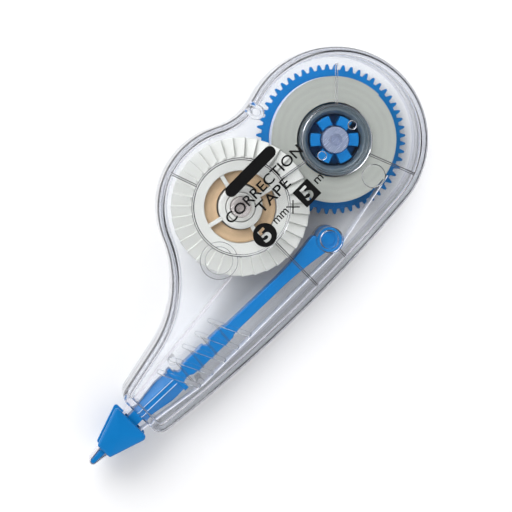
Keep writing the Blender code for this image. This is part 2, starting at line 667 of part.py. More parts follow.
def takeup_winding(backing):
    inner = DRUM_RADIUS + JOIN_GAP
    return finish(ring("takeup_winding", TAKEUP_CENTRE, inner, WINDING_RADIUS, TAPE_Z, TAPE_TOP_Z, 48), backing)


# ---------------------------------------------------------------- tip arm and head


def arm_outline():
    """The arm from its eye to its neck, anticlockwise, as half-widths along its middle line."""
    stations = [
        (EYE_CENTRE.x - 2.3 * MM, ARM_ROOT_HALF_WIDTH),
        (EYE_CENTRE.x - 5.5 * MM, ARM_HALF_WIDTH + 0.45 * MM),
        (EYE_CENTRE.x - 12.0 * MM, ARM_HALF_WIDTH),
        (ARM_THICK_X, ARM_HALF_WIDTH),
        (ARM_THICK_X - 0.8 * MM, ARM_THICK_HALF_WIDTH),
        (BLADE_BACK_X + 0.8 * MM, ARM_THICK_HALF_WIDTH),
        (BLADE_BACK_X + 0.2 * MM, BLADE_HALF_WIDTH - 0.6 * MM),
        (BLADE_BACK_X - 0.6 * MM, BLADE_HALF_WIDTH - 0.1 * MM),
        (BLADE_WIDE_X, BLADE_HALF_WIDTH),
        (BLADE_WIDE_X - 1.9 * MM, BLADE_HALF_WIDTH - 0.35 * MM),
        (BLADE_FRONT_X, NECK_HALF_WIDTH + 0.35 * MM),
        (BLADE_FRONT_X - 0.6 * MM, NECK_HALF_WIDTH),
        (NECK_END_X, NECK_HALF_WIDTH),
    ]
    upper = [Vector((x, arm_centre_y(x) + half)) for x, half in stations]
    lower = [Vector((x, arm_centre_y(x) - half)) for x, half in stations]
    root = Vector((EYE_CENTRE.x - 0.5 * MM, EYE_CENTRE.y))
    return [root] + upper + lower[::-1]


def tip_arm(blue):
    """A long springy arm whose eye sits on the back shell's peg; its blade runs out through the mouth."""
    body = prism("tip_arm", arm_outline(), ARM_Z, ARM_TOP_Z)
    combine(body, [
        prism("arm_eye", circle(EYE_CENTRE, EYE_RADIUS, 32), ARM_Z - 0.05 * MM, ARM_TOP_Z + 0.05 * MM),
    ], "UNION")
    bore_radius = EYE_PEG_RADIUS + RUN_GAP
    cutters = [prism("eye_bore", circle(EYE_CENTRE, bore_radius, 24), ARM_Z - OVERLAP, ARM_TOP_Z + OVERLAP)]
    start_x = BLADE_BACK_X - 0.9 * MM
    for label, side in (("lower", -1), ("upper", 1)):
        offset = side * BLADE_GROOVE_SPACING / 2
        start = Vector((start_x, arm_centre_y(start_x) + offset))
        end = Vector((BLADE_FRONT_X, arm_centre_y(BLADE_FRONT_X) + offset))
        low_z = ARM_TOP_Z - BLADE_GROOVE_DEPTH
        cutters.append(bar(label + "_groove", start, end, BLADE_GROOVE_WIDTH, low_z, ARM_TOP_Z + OVERLAP))
    combine(body, cutters, "DIFFERENCE")
    return finish(body, blue)


def web_outline():
    """The wedge between the cheeks, which narrows to the nib's round edge."""
    quarter = math.pi / 2
    nib = Vector((NIB_END_X + NIB_HALF_WIDTH, TIP_Y))
    back_x = NECK_END_X - JOIN_GAP
    back = [Vector((back_x, TIP_Y - HEAD_WEB_HALF_WIDTH)), Vector((back_x, TIP_Y + HEAD_WEB_HALF_WIDTH))]
    return arc(nib, NIB_HALF_WIDTH, quarter, 3 * quarter, math.radians(22.5)) + back


def tip_head(blue):
    """The transfer head: a nib between two cheeks that keep the tape on it."""
    cheek_low_z = TAPE_Z - CHEEK_GAP
    cheek_high_z = TAPE_TOP_Z + CHEEK_GAP
    body = prism("tip_head", web_outline(), TAPE_Z, TAPE_TOP_Z)
    plate = rounded_outline([
        Vector((HEAD_BACK_X, TIP_Y + HEAD_BACK_HALF_WIDTH)),
        Vector((HEAD_FRONT_X, TIP_Y + HEAD_FRONT_HALF_WIDTH)),
        Vector((HEAD_FRONT_X, TIP_Y - HEAD_FRONT_HALF_WIDTH)),
        Vector((HEAD_BACK_X, TIP_Y - HEAD_BACK_HALF_WIDTH)),
    ], CHEEK_CORNER)
    inner_front_x = HEAD_FRONT_X + 0.8 * MM
    web = [
        Vector((inner_front_x, TIP_Y + 0.6 * MM)),
        Vector((inner_front_x, TIP_Y - 0.6 * MM)),
        Vector((NECK_END_X - JOIN_GAP, TIP_Y - 0.8 * MM)),
        Vector((NECK_END_X - JOIN_GAP, TIP_Y + 0.8 * MM)),
    ]
    combine(body, [
        prism("head_web", web, cheek_low_z - OVERLAP, cheek_high_z + OVERLAP),
        prism("far_cheek", plate, cheek_low_z - CHEEK_THICKNESS, cheek_low_z),
        prism("near_cheek", plate, cheek_high_z, cheek_high_z + CHEEK_THICKNESS),
    ], "UNION")
    return finish(body, blue)


# ---------------------------------------------------------------- free films


def film(name, path, paper):
    return finish(prism(name, strip_outline(path, FILM_THICKNESS), TAPE_Z, TAPE_TOP_Z), paper)


def film_reach(radius, gap=FILM_GAP):
    """How far a film's middle runs from the centre of a guide of this radius."""
    return radius + gap + FILM_THICKNESS / 2


def split_at(path, x):
    """The path's points on the +X side of x, and those on its -X side, with a small gap between."""
    half_gap = 0.1 * MM
    for i, (a, b) in enumerate(zip(path, path[1:])):
        if (a.x - x) * (b.x - x) <= 0:
            along = (b - a).normalized()
            cut = a + (b - a) * ((x - a.x) / (b.x - a.x))
            return path[: i + 1] + [cut - along * half_gap], [cut + along * half_gap] + path[i + 1 :]
    raise ValueError("the film doesn't cross the cut")


def films(white_paper, backing):
    """The film from the supply coil, round the nib and back to the take-up drum, in three lengths."""
    left, right = 1, -1
    nib = Vector((NIB_END_X + NIB_HALF_WIDTH, TIP_Y))
    nib_reach = film_reach(NIB_HALF_WIDTH, JOIN_GAP)
    stops = [
        (SUPPLY_CENTRE, film_reach(PACK_RADIUS), left),
        (EYE_CENTRE, film_reach(EYE_RADIUS), left),
        (LOWER_PIN, film_reach(LOWER_PIN_RADIUS), left),
        (nib, nib_reach, left),
        (UPPER_PIN, film_reach(UPPER_PIN_RADIUS), left),
        (TAKEUP_CENTRE, film_reach(WINDING_RADIUS), right),
    ]
    spans = [tangent_points(a, ra, sa, b, rb, sb) for (a, ra, sa), (b, rb, sb) in zip(stops, stops[1:])]
    path = [spans[0][0]]
    for (centre, reach, _), (_, arrive), (leave, _) in zip(stops[1:], spans, spans[1:]):
        start = angle_of(arrive - centre)
        swing = (start - angle_of(leave - centre)) % (2 * math.pi)
        path += arc(centre, reach, start, start - swing, math.radians(15))
    path.append(spans[-1][1])
    nib_index = min(range(len(path)), key=lambda i: path[i].x)
    cut_x = UPPER_PIN.x - 3.2 * MM
    feed, feed_tip = split_at(path[: nib_index + 1], cut_x)
    return_tip, back = split_at(path[nib_index:], cut_x)
    film("feed_film", feed, white_paper)
    film("nib_film", feed_tip + return_tip[1:], white_paper)
    film("return_film", back, backing)


def main():
    for leftover in list(bpy.data.objects):
        bpy.data.objects.remove(leftover)
    clear = material("clear_plastic", (0.86, 0.88, 0.90), 0.08, 0.3)
    blue = material("blue_plastic", (0.002, 0.18, 0.52), 0.35)
    smoke = material("smoke_plastic", (0.14, 0.18, 0.21), 0.15, 0.7)
    white = material("white_plastic", (0.76, 0.78, 0.74), 0.4)
    paper = material("correction_tape", (0.55, 0.56, 0.52), 0.7)
    backing = material("backing_film", (0.55, 0.40, 0.26), 0.55)
    back_cover(clear)
    front_cover(clear)
    supply_gear(blue)
    supply_core(smoke)
    supply_tape(paper)
    takeup_drum(white)
    takeup_flange(white)
    takeup_winding(backing)
    tip_arm(blue)
    tip_head(blue)
    films(paper, backing)


main()
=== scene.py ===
"""Correction tape roller: fine shapes and finishes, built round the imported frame.

Frame: metres, +Z up. The origin is on the back shell's outer face, on the supply reel's axis. +X runs
from the writing tip to the round tail, and +Y towards the take-up reel.
"""

import json
import math

import bmesh
import bpy
from bpy.props import FloatProperty, FloatVectorProperty, IntProperty, PointerProperty
from mathutils import Matrix, Vector


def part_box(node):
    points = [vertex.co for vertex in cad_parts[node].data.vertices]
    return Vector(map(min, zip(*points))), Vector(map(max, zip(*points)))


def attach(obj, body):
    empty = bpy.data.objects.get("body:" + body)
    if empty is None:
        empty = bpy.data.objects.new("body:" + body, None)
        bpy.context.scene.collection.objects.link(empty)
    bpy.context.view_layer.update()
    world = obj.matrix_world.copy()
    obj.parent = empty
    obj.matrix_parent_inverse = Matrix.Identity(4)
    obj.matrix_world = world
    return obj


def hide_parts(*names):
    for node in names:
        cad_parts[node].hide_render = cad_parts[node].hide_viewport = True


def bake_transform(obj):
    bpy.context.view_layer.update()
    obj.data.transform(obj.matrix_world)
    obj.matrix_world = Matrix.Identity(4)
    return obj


bl_info = {
    "name": "Correction Tape Roller",
    "version": (1, 0, 0),
    "blender": (4, 5, 0),
    "location": "View3D > Sidebar > Tape Roller",
    "description": "Builds a clear correction tape roller with its reels, tip and printing",
    "category": "Object",
}

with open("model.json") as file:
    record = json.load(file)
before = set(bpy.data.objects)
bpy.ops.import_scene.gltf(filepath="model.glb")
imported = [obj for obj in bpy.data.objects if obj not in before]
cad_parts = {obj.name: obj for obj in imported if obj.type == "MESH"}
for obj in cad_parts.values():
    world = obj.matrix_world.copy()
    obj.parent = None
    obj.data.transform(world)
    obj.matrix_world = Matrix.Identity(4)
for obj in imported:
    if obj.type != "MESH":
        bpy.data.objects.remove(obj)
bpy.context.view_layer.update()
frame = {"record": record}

MM = 0.001


def joint_centre(name):
    """The place of a joint's upright axis, as a flat point."""
    places = {joint["name"]: joint["pos_m"] for joint in frame["record"]["behaviour"]["joints"]}
    return Vector(places[name][:2])


def heights(node):
    """A node's lowest and highest levels."""
    low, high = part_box(node)
    return low[2], high[2]


# Places and levels that come from the frame
SUPPLY_CENTRE = joint_centre("supply_gear_spin")
TAKEUP_CENTRE = joint_centre("takeup_spin")
EYE_CENTRE = joint_centre("tip_flex")
GEAR_Z, DRUM_TOP_Z = heights("takeup_drum")
TAPE_Z, TAPE_TOP_Z = heights("supply_tape")
CORE_Z, CORE_TOP_Z = heights("supply_core")
FLANGE_Z, PLEAT_TOP_Z = heights("takeup_flange")
FACE_Z = heights("front_cover")[1]
CASE_LOW, CASE_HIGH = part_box("back_cover")
NOSE_X = CASE_LOW[0]
SUPPLY_END_RADIUS = CASE_HIGH[0]
TAKEUP_END_RADIUS = CASE_HIGH[1] - TAKEUP_CENTRE.y

# Case
WALL = 1.4 * MM
FLOOR = 1.3 * MM
PARTING_Z = 6.5 * MM
PARTING_GAP = 0.15 * MM
LIP_HEIGHT = 0.8 * MM
LIP_INSET = 0.6 * MM
SADDLE_RADIUS = 12.0 * MM
THROAT_RADIUS = 22.0 * MM
SIDE_RADIUS = 300.0 * MM
NOSE_HALF_HEIGHT = 5.25 * MM
NOSE_CORNER = 2.2 * MM
NOSE_LEAN = math.radians(11.56)
TIP_Y = -10.4 * MM
MOUTH_HALF_WIDTH = 4.0 * MM
MOUTH_MARGIN = 0.6 * MM
NOSE_TOP = Vector((NOSE_X, TIP_Y + NOSE_HALF_HEIGHT))
NOSE_BOTTOM = Vector((NOSE_X, TIP_Y - NOSE_HALF_HEIGHT))
INK_HEIGHT = 0.025 * MM
PRINT_Z = FACE_Z - INK_HEIGHT       # the ink's top stands level with the CAD face
PRINT_GAP = 0.005 * MM
ROOF_Z = FACE_Z - FLOOR

# Edges, gaps and how finely round shapes are drawn
FINE_EDGE = 0.08 * MM
SMALL_EDGE = 0.15 * MM
CLEARANCE = 0.35 * MM               # between a moving part and the ridge or seat beside it
OVERLAP = 0.4 * MM                  # how far a solid reaches into the one that it is joined to
JOIN_DEPTH = 0.1 * MM               # the same, for the thin walls of the reels
ORIGIN = Vector((0, 0))
NO_OFFSET = (0.0, 0.0, 0.0)
MERGE_DISTANCE = 0.002 * MM
ARC_STEP = math.radians(2.5)
SIDE_STEP = math.radians(0.4)
CORNER_STEP = math.radians(6)
PLATE_CORNER_STEP = math.radians(12)
CAPSULE_STEP = math.radians(20)
PIN_STEPS = 48
REEL_STEPS = 128
MITRE_LIMIT = 0.4                   # keeps an inset at a sharp corner from running away
LARGE_FACE_WEIGHT = 90              # how strongly normals follow the large faces

# Edges that turn more than this stay sharp
FILM_SMOOTH = math.radians(40)
WHEEL_SMOOTH = math.radians(30)
TIP_SMOOTH = math.radians(32)
SHELL_SMOOTH = math.radians(25)

# Bosses, ridges and ribs
POST_TOP_Z = ROOF_Z - 0.8 * MM
POST_BORE_RADIUS = 1.2 * MM
POST_BORE_DEPTH = 3.0 * MM
SUPPLY_POST_RADIUS = 2.5 * MM
TAKEUP_POST_RADIUS = 1.9 * MM
COLLAR_WIDTH = 0.9 * MM
SPIGOT_RADIUS = 0.9 * MM
SPIGOT_TO_BORE_END = 0.8 * MM
UPPER_PIN = Vector((-51.6, -7.7)) * MM
UPPER_PIN_RADIUS = 0.85 * MM
LOWER_PIN = Vector((-50.6, -14.15)) * MM
LOWER_PIN_RADIUS = 0.7 * MM
SNAP_PIN = Vector((-6.92, 14.37)) * MM
SNAP_PIN_RADIUS = 0.75 * MM
SNAP_SOCKET_RADIUS = 1.45 * MM
SNAP_DEPTH = 1.5 * MM
RIDGE_WIDTH = 0.5 * MM
RIB_WIDTH = 0.5 * MM
RIB_DEPTH = 1.0 * MM
STUD_DEPTH = 0.4 * MM
RIB_CHAMFER = 0.16 * MM
NOSE_RIB_START = Vector((-39.4, -10.6)) * MM
NOSE_RIB_LEAN = math.radians(-65)
NOSE_RIB_PITCH = 3.4 * MM
NOSE_RIB_LENGTH = 8.8 * MM
NOSE_RIB_WIDTH = 0.9 * MM
NOSE_RIB_DEPTH = 1.6 * MM
LINK_RIB_WIDTH = 0.32 * MM
LINK_RIB_DEPTH = 1.3 * MM
NOSE_RIBS = 5

# Reels
MODULE = 0.5 * MM
SUPPLY_TEETH = 56
TAKEUP_TEETH = 32
ADDENDUM = 0.85
DEDENDUM = 1.15
PRESSURE_ANGLE = math.radians(20)
BACKLASH = 0.14 * MM
GEAR_THICKNESS = 1.5 * MM
GEAR_TOP_Z = GEAR_Z + GEAR_THICKNESS
TAKEUP_DIRECTION = math.radians(170)
RUN_GAP = 0.15 * MM
PACK_RADIUS = 12.1 * MM
TAPE_RING = 0.21 * MM               # between the rings that are drawn on a coil's edge
BACKING_RING = 0.22 * MM
WINDING_RADIUS = 6.95 * MM
CORE_OUTER_RADIUS = 6.85 * MM
CORE_INNER_RADIUS = 4.95 * MM
FINGER_COUNT = 6
FINGER_DIRECTION = math.radians(-45)
FINGER_HALF_WIDTH = 1.3 * MM
FINGER_ROOT_HALF_WIDTH = 1.12 * MM
GEAR_HUB_RADIUS = 4.4 * MM
GEAR_RIM_RADIUS = 11.6 * MM
PINION_HUB_RADIUS = 3.4 * MM
PINION_RIM_RADIUS = 6.4 * MM
GEAR_RECESS = 0.5 * MM
GEAR_BRACE_WIDTH = 0.7 * MM
GEAR_BRACE_TOP = 0.7 * MM
DRUM_RADIUS = 4.2 * MM
NECK_RADIUS = 2.75 * MM
FLANGE_RADIUS = 13.25 * MM
FLANGE_TOP_Z = FLANGE_Z + 1.0 * MM
FLANGE_RING_RADIUS = 9.2 * MM
FLANGE_WINDOW_RADIUS = 6.9 * MM
FLANGE_PLEATS = 35
FLANGE_SPOKES = 4
FLANGE_SPOKE_DIRECTION = math.radians(76)
SPOKE_WIDTH = 0.8 * MM
SPOKE_REACH = 0.3 * MM
DISC_BORE_RADIUS = 2.9 * MM
PLEAT_SINK = 0.3 * MM
SUPPLY_RIDGE_RADIUS = CORE_OUTER_RADIUS
TAKEUP_RIDGE_RADIUS = FLANGE_RING_RADIUS + 0.2 * MM

# Tip
EYE_RADIUS = 2.5 * MM
EYE_PEG_RADIUS = 1.2 * MM
EYE_CAP = 0.5 * MM
ARM_Z = 4.4 * MM
ARM_TOP_Z = 8.4 * MM
BEAD_Y = 0.5 * MM
BEAD_HALF = 0.13 * MM
ARM_RISE = 0.5 * MM                 # how far the arm's line starts above its eye's centre
ARM_SAG = 0.6 * MM
EYE_GROOVE = (1.1 * MM, 1.5 * MM)
WAIST_X = -51.0 * MM
WAIST_WIDTH = 1.5 * MM
BRIDGE_X = -53.45 * MM
BRIDGE_WIDTH = 0.9 * MM
BRIDGE_HALF_LENGTH = 2.6 * MM
BLADE_X = -54.2 * MM
NECK_START_X = -62.9 * MM
NECK_WIDTH = 2.4 * MM
HEAD_BACK_X = NOSE_X - 1.9 * MM
NECK_END_X = HEAD_BACK_X - 1.2 * MM
HEAD_FRONT_X = HEAD_BACK_X - 7.8 * MM
NIB_END_X = HEAD_FRONT_X - 3.2 * MM
NIB_HALF_WIDTH = 0.45 * MM
CHEEK_GAP = 0.25 * MM
CHEEK_THICKNESS = 1.1 * MM
CHEEK_BACK_HALF = 4.3 * MM
CHEEK_FRONT_HALF = 1.65 * MM
CHEEK_CORNERS = (0.5 * MM, 0.5 * MM, 0.5 * MM, 0.8 * MM)
CHEEK_EDGE = 0.4 * MM
CHEEK_DOME = 0.18 * MM
WEDGE_HALF_WIDTH = 0.95 * MM
NIB_CENTRE = Vector((NIB_END_X + NIB_HALF_WIDTH, TIP_Y))
FILM_THICKNESS = 0.15 * MM
FILM_GAP = 0.2 * MM
NIB_FILM_GAP = 0.14 * MM


# ---------------------------------------------------------------- settings


def linear(code):
    """A colour written as an sRGB hex value, as the linear numbers that the shaders use."""
    values = [int(code[i : i + 2], 16) / 255 for i in (0, 2, 4)]
    return tuple(v / 12.92 if v <= 0.04045 else ((v + 0.055) / 1.055) ** 2.4 for v in values)


def length_property(name, description, value):
    return FloatProperty(
        name=name, description=description, default=value, min=0.0, unit="LENGTH", precision=5
    )


def count_property(name, description, value):
    return IntProperty(name=name, description=description, default=value, min=2)


def power_property(name, description, value):
    return FloatProperty(name=name, description=description, default=value, min=0.0, unit="POWER")


def colour_property(name, description, code):
    return FloatVectorProperty(
        name=name, description=description, default=linear(code), size=3, min=0.0, max=1.0, subtype="COLOR"
    )


class RollerCaseSettings(bpy.types.PropertyGroup):
    """Sizes of the clear shells that can change without touching what they hold."""

    edge_round: length_property("Edge Round", "Radius of the shells' outer edge", 1.5 * MM)
    floor_fillet: length_property("Floor Fillet", "Radius between a shell's floor and its wall", 0.5 * MM)
    rib_depth: length_property("Rib Depth", "How far the stiffening ribs hang from the roof", RIB_DEPTH)
    tint: colour_property("Tint", "Colour of the clear plastic", "FBFCFD")
    # The sides' greyer tint is painted shade: it stands in for the grey that clear edges show where they bend
    # the light.
    side_shade_tint: colour_property("Side Tint", "Colour of the shells' satin sides", "DFE1E8")
    # The posts' casts are painted reflections: lavender-blue for the light that the blue gear throws into the
    # supply post, pinkish white for what stands round the take-up post.
    supply_post: colour_property("Supply Post", "Cast of the milky post in the supply reel", "A5B1CE")
    takeup_post: colour_property("Take-up Post", "Cast of the milky post in the take-up reel", "F2EAE8")


class RollerReelSettings(bpy.types.PropertyGroup):
    """Sizes and colours of both reels."""

    tape_turns: count_property("Tape Turns", "Turns of fresh tape that are drawn", 24)
    used_turns: count_property("Used Turns", "Turns of used backing that are drawn", 12)
    pleat_lift: length_property("Pleat Lift", "Height of the pleats on the take-up disc", 0.5 * MM)
    blue: colour_property("Blue", "Colour of the gear, arm and head", "0071B6")
    white: colour_property("White", "Colour of the take-up reel", "D0D1CD")
    smoke: colour_property("Smoke", "Colour of the bobbin", "56636B")
    tape: colour_property("Tape", "Colour of the fresh coil's edge", "A3A6A0")
    tape_face: colour_property("Tape Face", "Colour of the fresh coil's outer turn", "EDEEF8")
    fresh_film: colour_property("Fresh Film", "Colour of the tape on its way to the nib", "F4F5FA")
    backing: colour_property("Backing", "Colour of the used coil's edge", "CDB08D")
    used_film: colour_property("Used Film", "Colour of the backing on its way back", "ECE9EE")
    # The bead colour is a painted highlight: a paler blue that stands in for the light caught along the
    # blade's two beads.
    bead_highlight: colour_property("Rubbed", "Colour of the beads that the film rubs pale", "D5E4F2")


class RollerPrintSettings(bpy.types.PropertyGroup):
    """The printed marks on the front shell."""

    ink: colour_property("Ink", "Colour of the printing", "040405")
    word_height: length_property("Word Height", "Height of the capital letters", 2.05 * MM)


class RollerStageSettings(bpy.types.PropertyGroup):
    """Floor and lights."""

    floor: colour_property("Floor", "Colour of the floor", "F7F7F8")
    key_power: power_property("Key Power", "Power of the main soft light", 2.7)
    fill_power: power_property("Fill Power", "Power of the weaker light", 0.45)
    sky: FloatProperty(name="Sky", description="Strength of the light from all round", default=0.85)


# ---------------------------------------------------------------- points and outlines


def direction(angle):
    """The flat unit vector at an angle from +X."""
    return Vector((math.cos(angle), math.sin(angle)))


def angle_of(vector):
    return math.atan2(vector.y, vector.x)


def arc(centre, radius, start, end, step=ARC_STEP):
    """Points from start to end on an arc; it runs clockwise where end is less than start."""
    count = max(2, round(abs(end - start) / step))
    return [centre + radius * direction(start + (end - start) * i / count) for i in range(count + 1)]


def circle(centre, radius, steps=72):
    """Points evenly round a centre, anticlockwise."""
    return [centre + radius * direction(2 * math.pi * i / steps) for i in range(steps)]


def level(outline, z):
    """A flat outline lifted to a height."""
    return [Vector((point.x, point.y, z)) for point in outline]


def inset(outline, amount):
    """A closed outline moved inwards by the same amount all round."""
    area = sum(a.x * b.y - b.x * a.y for a, b in zip(outline, outline[1:] + outline[:1]))
    turn = amount if area > 0 else -amount
    moved = []
    for i, point in enumerate(outline):
        before = (point - outline[i - 1]).normalized()
        after = (outline[(i + 1) % len(outline)] - point).normalized()
        first = Vector((-before.y, before.x))
        second = Vector((-after.y, after.x))
        moved.append(point + (first + second) * turn / max(MITRE_LIMIT, 1 + first.dot(second)))
    return moved


def centre_touching(first, first_reach, second, second_reach):
    """The point at the two given distances from two centres, on the +Y side of their line."""
    apart = (second - first).length
    along = (first_reach**2 - second_reach**2 + apart**2) / (2 * apart)
    across = math.sqrt(first_reach**2 - along**2)
    unit = (second - first) / apart
    sideways = Vector((unit.y, -unit.x))
    if sideways.y < 0:
        sideways = -sideways
    return first + along * unit + across * sideways


def throat_centre():
    """The centre of the hollow that touches the take-up end outside and the nose's upper line."""
    along = direction(NOSE_LEAN)
    start = NOSE_TOP + THROAT_RADIUS * direction(NOSE_LEAN + math.pi / 2)
    to_start = start - TAKEUP_CENTRE
    middle = to_start.dot(along)
    reach = TAKEUP_END_RADIUS + THROAT_RADIUS
    return start + along * (-middle - math.sqrt(middle**2 - to_start.length_squared + reach**2))


def case_outline(depth):
    """The case's outline, this far inside its outer wall, anticlockwise from the nose's lower corner."""
    side_centre = centre_touching(SUPPLY_CENTRE, SIDE_RADIUS - SUPPLY_END_RADIUS, NOSE_BOTTOM, SIDE_RADIUS)
    saddle_centre = centre_touching(
        SUPPLY_CENTRE, SUPPLY_END_RADIUS + SADDLE_RADIUS, TAKEUP_CENTRE, TAKEUP_END_RADIUS + SADDLE_RADIUS
    )
    throat = throat_centre()
    corner_x = NOSE_X + NOSE_CORNER
    corner_reach = SIDE_RADIUS - NOSE_CORNER
    low_y = side_centre.y - math.sqrt(corner_reach**2 - (corner_x - side_centre.x) ** 2)
    low_corner = Vector((corner_x, low_y))
    rise = NOSE_CORNER * (math.tan(NOSE_LEAN) - 1 / math.cos(NOSE_LEAN))
    high_corner = Vector((corner_x, NOSE_TOP.y + rise))
    side_start = angle_of(low_corner - side_centre)
    side_end = angle_of(SUPPLY_CENTRE - side_centre)
    to_saddle = angle_of(saddle_centre - SUPPLY_CENTRE)
    points = arc(low_corner, NOSE_CORNER - depth, math.pi, side_start + 2 * math.pi, CORNER_STEP)
    points += arc(side_centre, SIDE_RADIUS - depth, side_start, side_end, SIDE_STEP)[1:]
    points += arc(SUPPLY_CENTRE, SUPPLY_END_RADIUS - depth, side_end, to_saddle)[1:]
    points += arc(
        saddle_centre, SADDLE_RADIUS + depth, to_saddle - math.pi, angle_of(TAKEUP_CENTRE - saddle_centre)
    )[1:]
    points += arc(
        TAKEUP_CENTRE, TAKEUP_END_RADIUS - depth,
        angle_of(saddle_centre - TAKEUP_CENTRE), angle_of(throat - TAKEUP_CENTRE),
    )[1:]
    points += arc(
        throat, THROAT_RADIUS + depth, angle_of(TAKEUP_CENTRE - throat), NOSE_LEAN - math.pi / 2
    )[1:]
    points += arc(high_corner, NOSE_CORNER - depth, math.pi / 2 + NOSE_LEAN, math.pi, CORNER_STEP)
    return points


def reach_to_wall(start, out):
    """How far the middle of the case's wall is from a point inside it, in the given direction."""
    outline = case_outline(WALL / 2)
    across = Vector((-out.y, out.x))
    reaches = []
    for a, b in zip(outline, outline[1:] + outline[:1]):
        side_a = (a - start).dot(across)
        side_b = (b - start).dot(across)
        if side_a * side_b <= 0 and side_a != side_b:
            reaches.append((a + (b - a) * (side_a / (side_a - side_b)) - start).dot(out))
    return min(reach for reach in reaches if reach > 0)


def arm_centre_y(x):
    """The arm runs, with a slight sag, from its eye to the writing tip's own line."""
    share = (x - EYE_CENTRE.x) / (HEAD_BACK_X - EYE_CENTRE.x)
    start = EYE_CENTRE.y + ARM_RISE
    return start + (TIP_Y - start) * share - ARM_SAG * share * (1 - share)


def capsule_outline(middle, length, width, lean):
    """A bar with round ends."""
    along = direction(lean) * (length - width) / 2
    quarter = math.pi / 2
    first = arc(middle + along, width / 2, lean - quarter, lean + quarter, CAPSULE_STEP)
    last = arc(middle - along, width / 2, lean + quarter, lean + 3 * quarter, CAPSULE_STEP)
    return first + last


def box_outline(middle, half_x, half_y):
    """A rectangle round a middle, anticlockwise."""
    signs = ((-1, -1), (1, -1), (1, 1), (-1, 1))
    return [middle + Vector((sx * half_x, sy * half_y)) for sx, sy in signs]


def bar_outline(start, end, width):
    """A straight bar between the middles of its two ends."""
    across = (end - start).normalized().orthogonal() * width / 2
    return [start - across, end - across, end + across, start + across]


def rounded_outline(corners, radii):
    """A convex polygon, anticlockwise, with its corners rounded."""
    points = []
    for i, (corner, radius) in enumerate(zip(corners, radii)):
        before = (corners[i - 1] - corner).normalized()
        after = (corners[(i + 1) % len(corners)] - corner).normalized()
        half = math.acos(before.dot(after)) / 2
        middle = corner + (before + after).normalized() * radius / math.sin(half)
        start = angle_of(-Vector((-before.y, before.x))) + math.pi
        points += arc(middle, radius, start, start + math.pi - 2 * half, PLATE_CORNER_STEP)
    return points


def tangent_points(first, first_radius, first_side, second, second_radius, second_side):
    """Where a straight film leaves one round guide and meets the next; a side is +1 for the left."""
    apart = second - first
    lean = math.asin((second_side * second_radius - first_side * first_radius) / apart.length)
    normal = direction(angle_of(apart) + math.pi / 2 + lean)
    return first + first_side * first_radius * normal, second + second_side * second_radius * normal


# ---------------------------------------------------------------- meshes


def new_object(name, mesh):
    """A new object at the origin, in the scene."""
    made = bpy.data.objects.new(name, mesh)
    bpy.context.scene.collection.objects.link(made)
    return made


def skin(name, loops, around=True, through=False):
    """Faces through loops of equal length. Around joins a loop's ends, and through joins the last loop
    to the first; where it doesn't, the two end loops are capped."""
    bm = bmesh.new()
    rows = [[bm.verts.new(point) for point in loop] for loop in loops]
    pairs = list(zip(rows, rows[1:]))
    if through:
        pairs.append((rows[-1], rows[0]))
    count = len(rows[0])
    for low, high in pairs:
        for i in range(count if around else count - 1):
            j = (i + 1) % count
            bm.faces.new((low[i], low[j], high[j], high[i]))
    if around and not through:
        bm.faces.new(rows[0][::-1])
        bm.faces.new(rows[-1])
    bmesh.ops.recalc_face_normals(bm, faces=bm.faces)
    mesh = bpy.data.meshes.new(name)
    bm.to_mesh(mesh)
    bm.free()
    return new_object(name, mesh)


def prism(name, outline, low, high, low_edge=0.0, high_edge=0.0, steps=3):
    """An upright solid on an outline; its lower and upper edges may be rounded."""
    loops = []
    for edge, z, towards in ((low_edge, low, 1), (high_edge, high, -1)):
        rounding = [level(outline, z)]
        if edge:
            rounding = []
            for i in range(steps + 1):
                swing = math.pi / 2 * i / steps
                shape = inset(outline, edge * (1 - math.sin(swing)))
                rounding.append(level(shape, z + towards * edge * (1 - math.cos(swing))))
        loops += rounding if towards > 0 else rounding[::-1]
    return skin(name, loops)


def turned(name, centre, profile, steps=96):
    """A ring turned round an upright axis, from a closed profile of (radius, height)."""
    return skin(name, [level(circle(centre, radius, steps), z) for radius, z in profile], through=True)


def rounded_profile(corners, radius, steps=4):
    """A closed profile of (radius, height) whose corners are rounded, each as far as its sides allow."""
    side_share = 2.2
    points = []
    flat = [Vector(corner) for corner in corners]
    for i, corner in enumerate(flat):
        before = flat[i - 1] - corner
        after = flat[(i + 1) % len(flat)] - corner
        reach = min(radius, before.length / side_share, after.length / side_share)
        start = corner + before.normalized() * reach
        end = corner + after.normalized() * reach
        for j in range(steps + 1):
            share = j / steps
            points.append(start * (1 - share) ** 2 + corner * 2 * share * (1 - share) + end * share**2)
    return [tuple(point) for point in points]


def ridge(name, centre, inner, outer, low, high):
    """A ring-shaped ridge under the roof, with a chamfered lower edge."""
    cut = RIB_CHAMFER
    profile = [
        (inner, low + cut), (inner + cut, low), (outer - cut, low), (outer, low + cut),
        (outer, high), (inner, high),
    ]
    return turned(name, centre, profile, steps=120)


def settle(made):
    """Applies the object's modifiers to its mesh."""
    graph = bpy.context.evaluated_depsgraph_get()
    mesh = bpy.data.meshes.new_from_object(
        made.evaluated_get(graph), preserve_all_data_layers=True, depsgraph=graph
    )
    made.modifiers.clear()
    made.data = mesh
    return made


def combine(body, tools, operation):
    """Adds or cuts closed solids, one after another."""
    for tool in tools:
        modifier = body.modifiers.new(tool.name, "BOOLEAN")
        modifier.operation = operation
        modifier.solver = "EXACT"
        modifier.object = tool
    settle(body)
    for tool in tools:
        bpy.data.objects.remove(tool)
    return body


def joined(name, parts):
    """One mesh from several closed solids."""
    bm = bmesh.new()
    for part in parts:
        bm.from_mesh(part.data)
        bpy.data.objects.remove(part)
    mesh = bpy.data.meshes.new(name)
    bm.to_mesh(mesh)
    bm.free()
    return new_object(name, mesh)


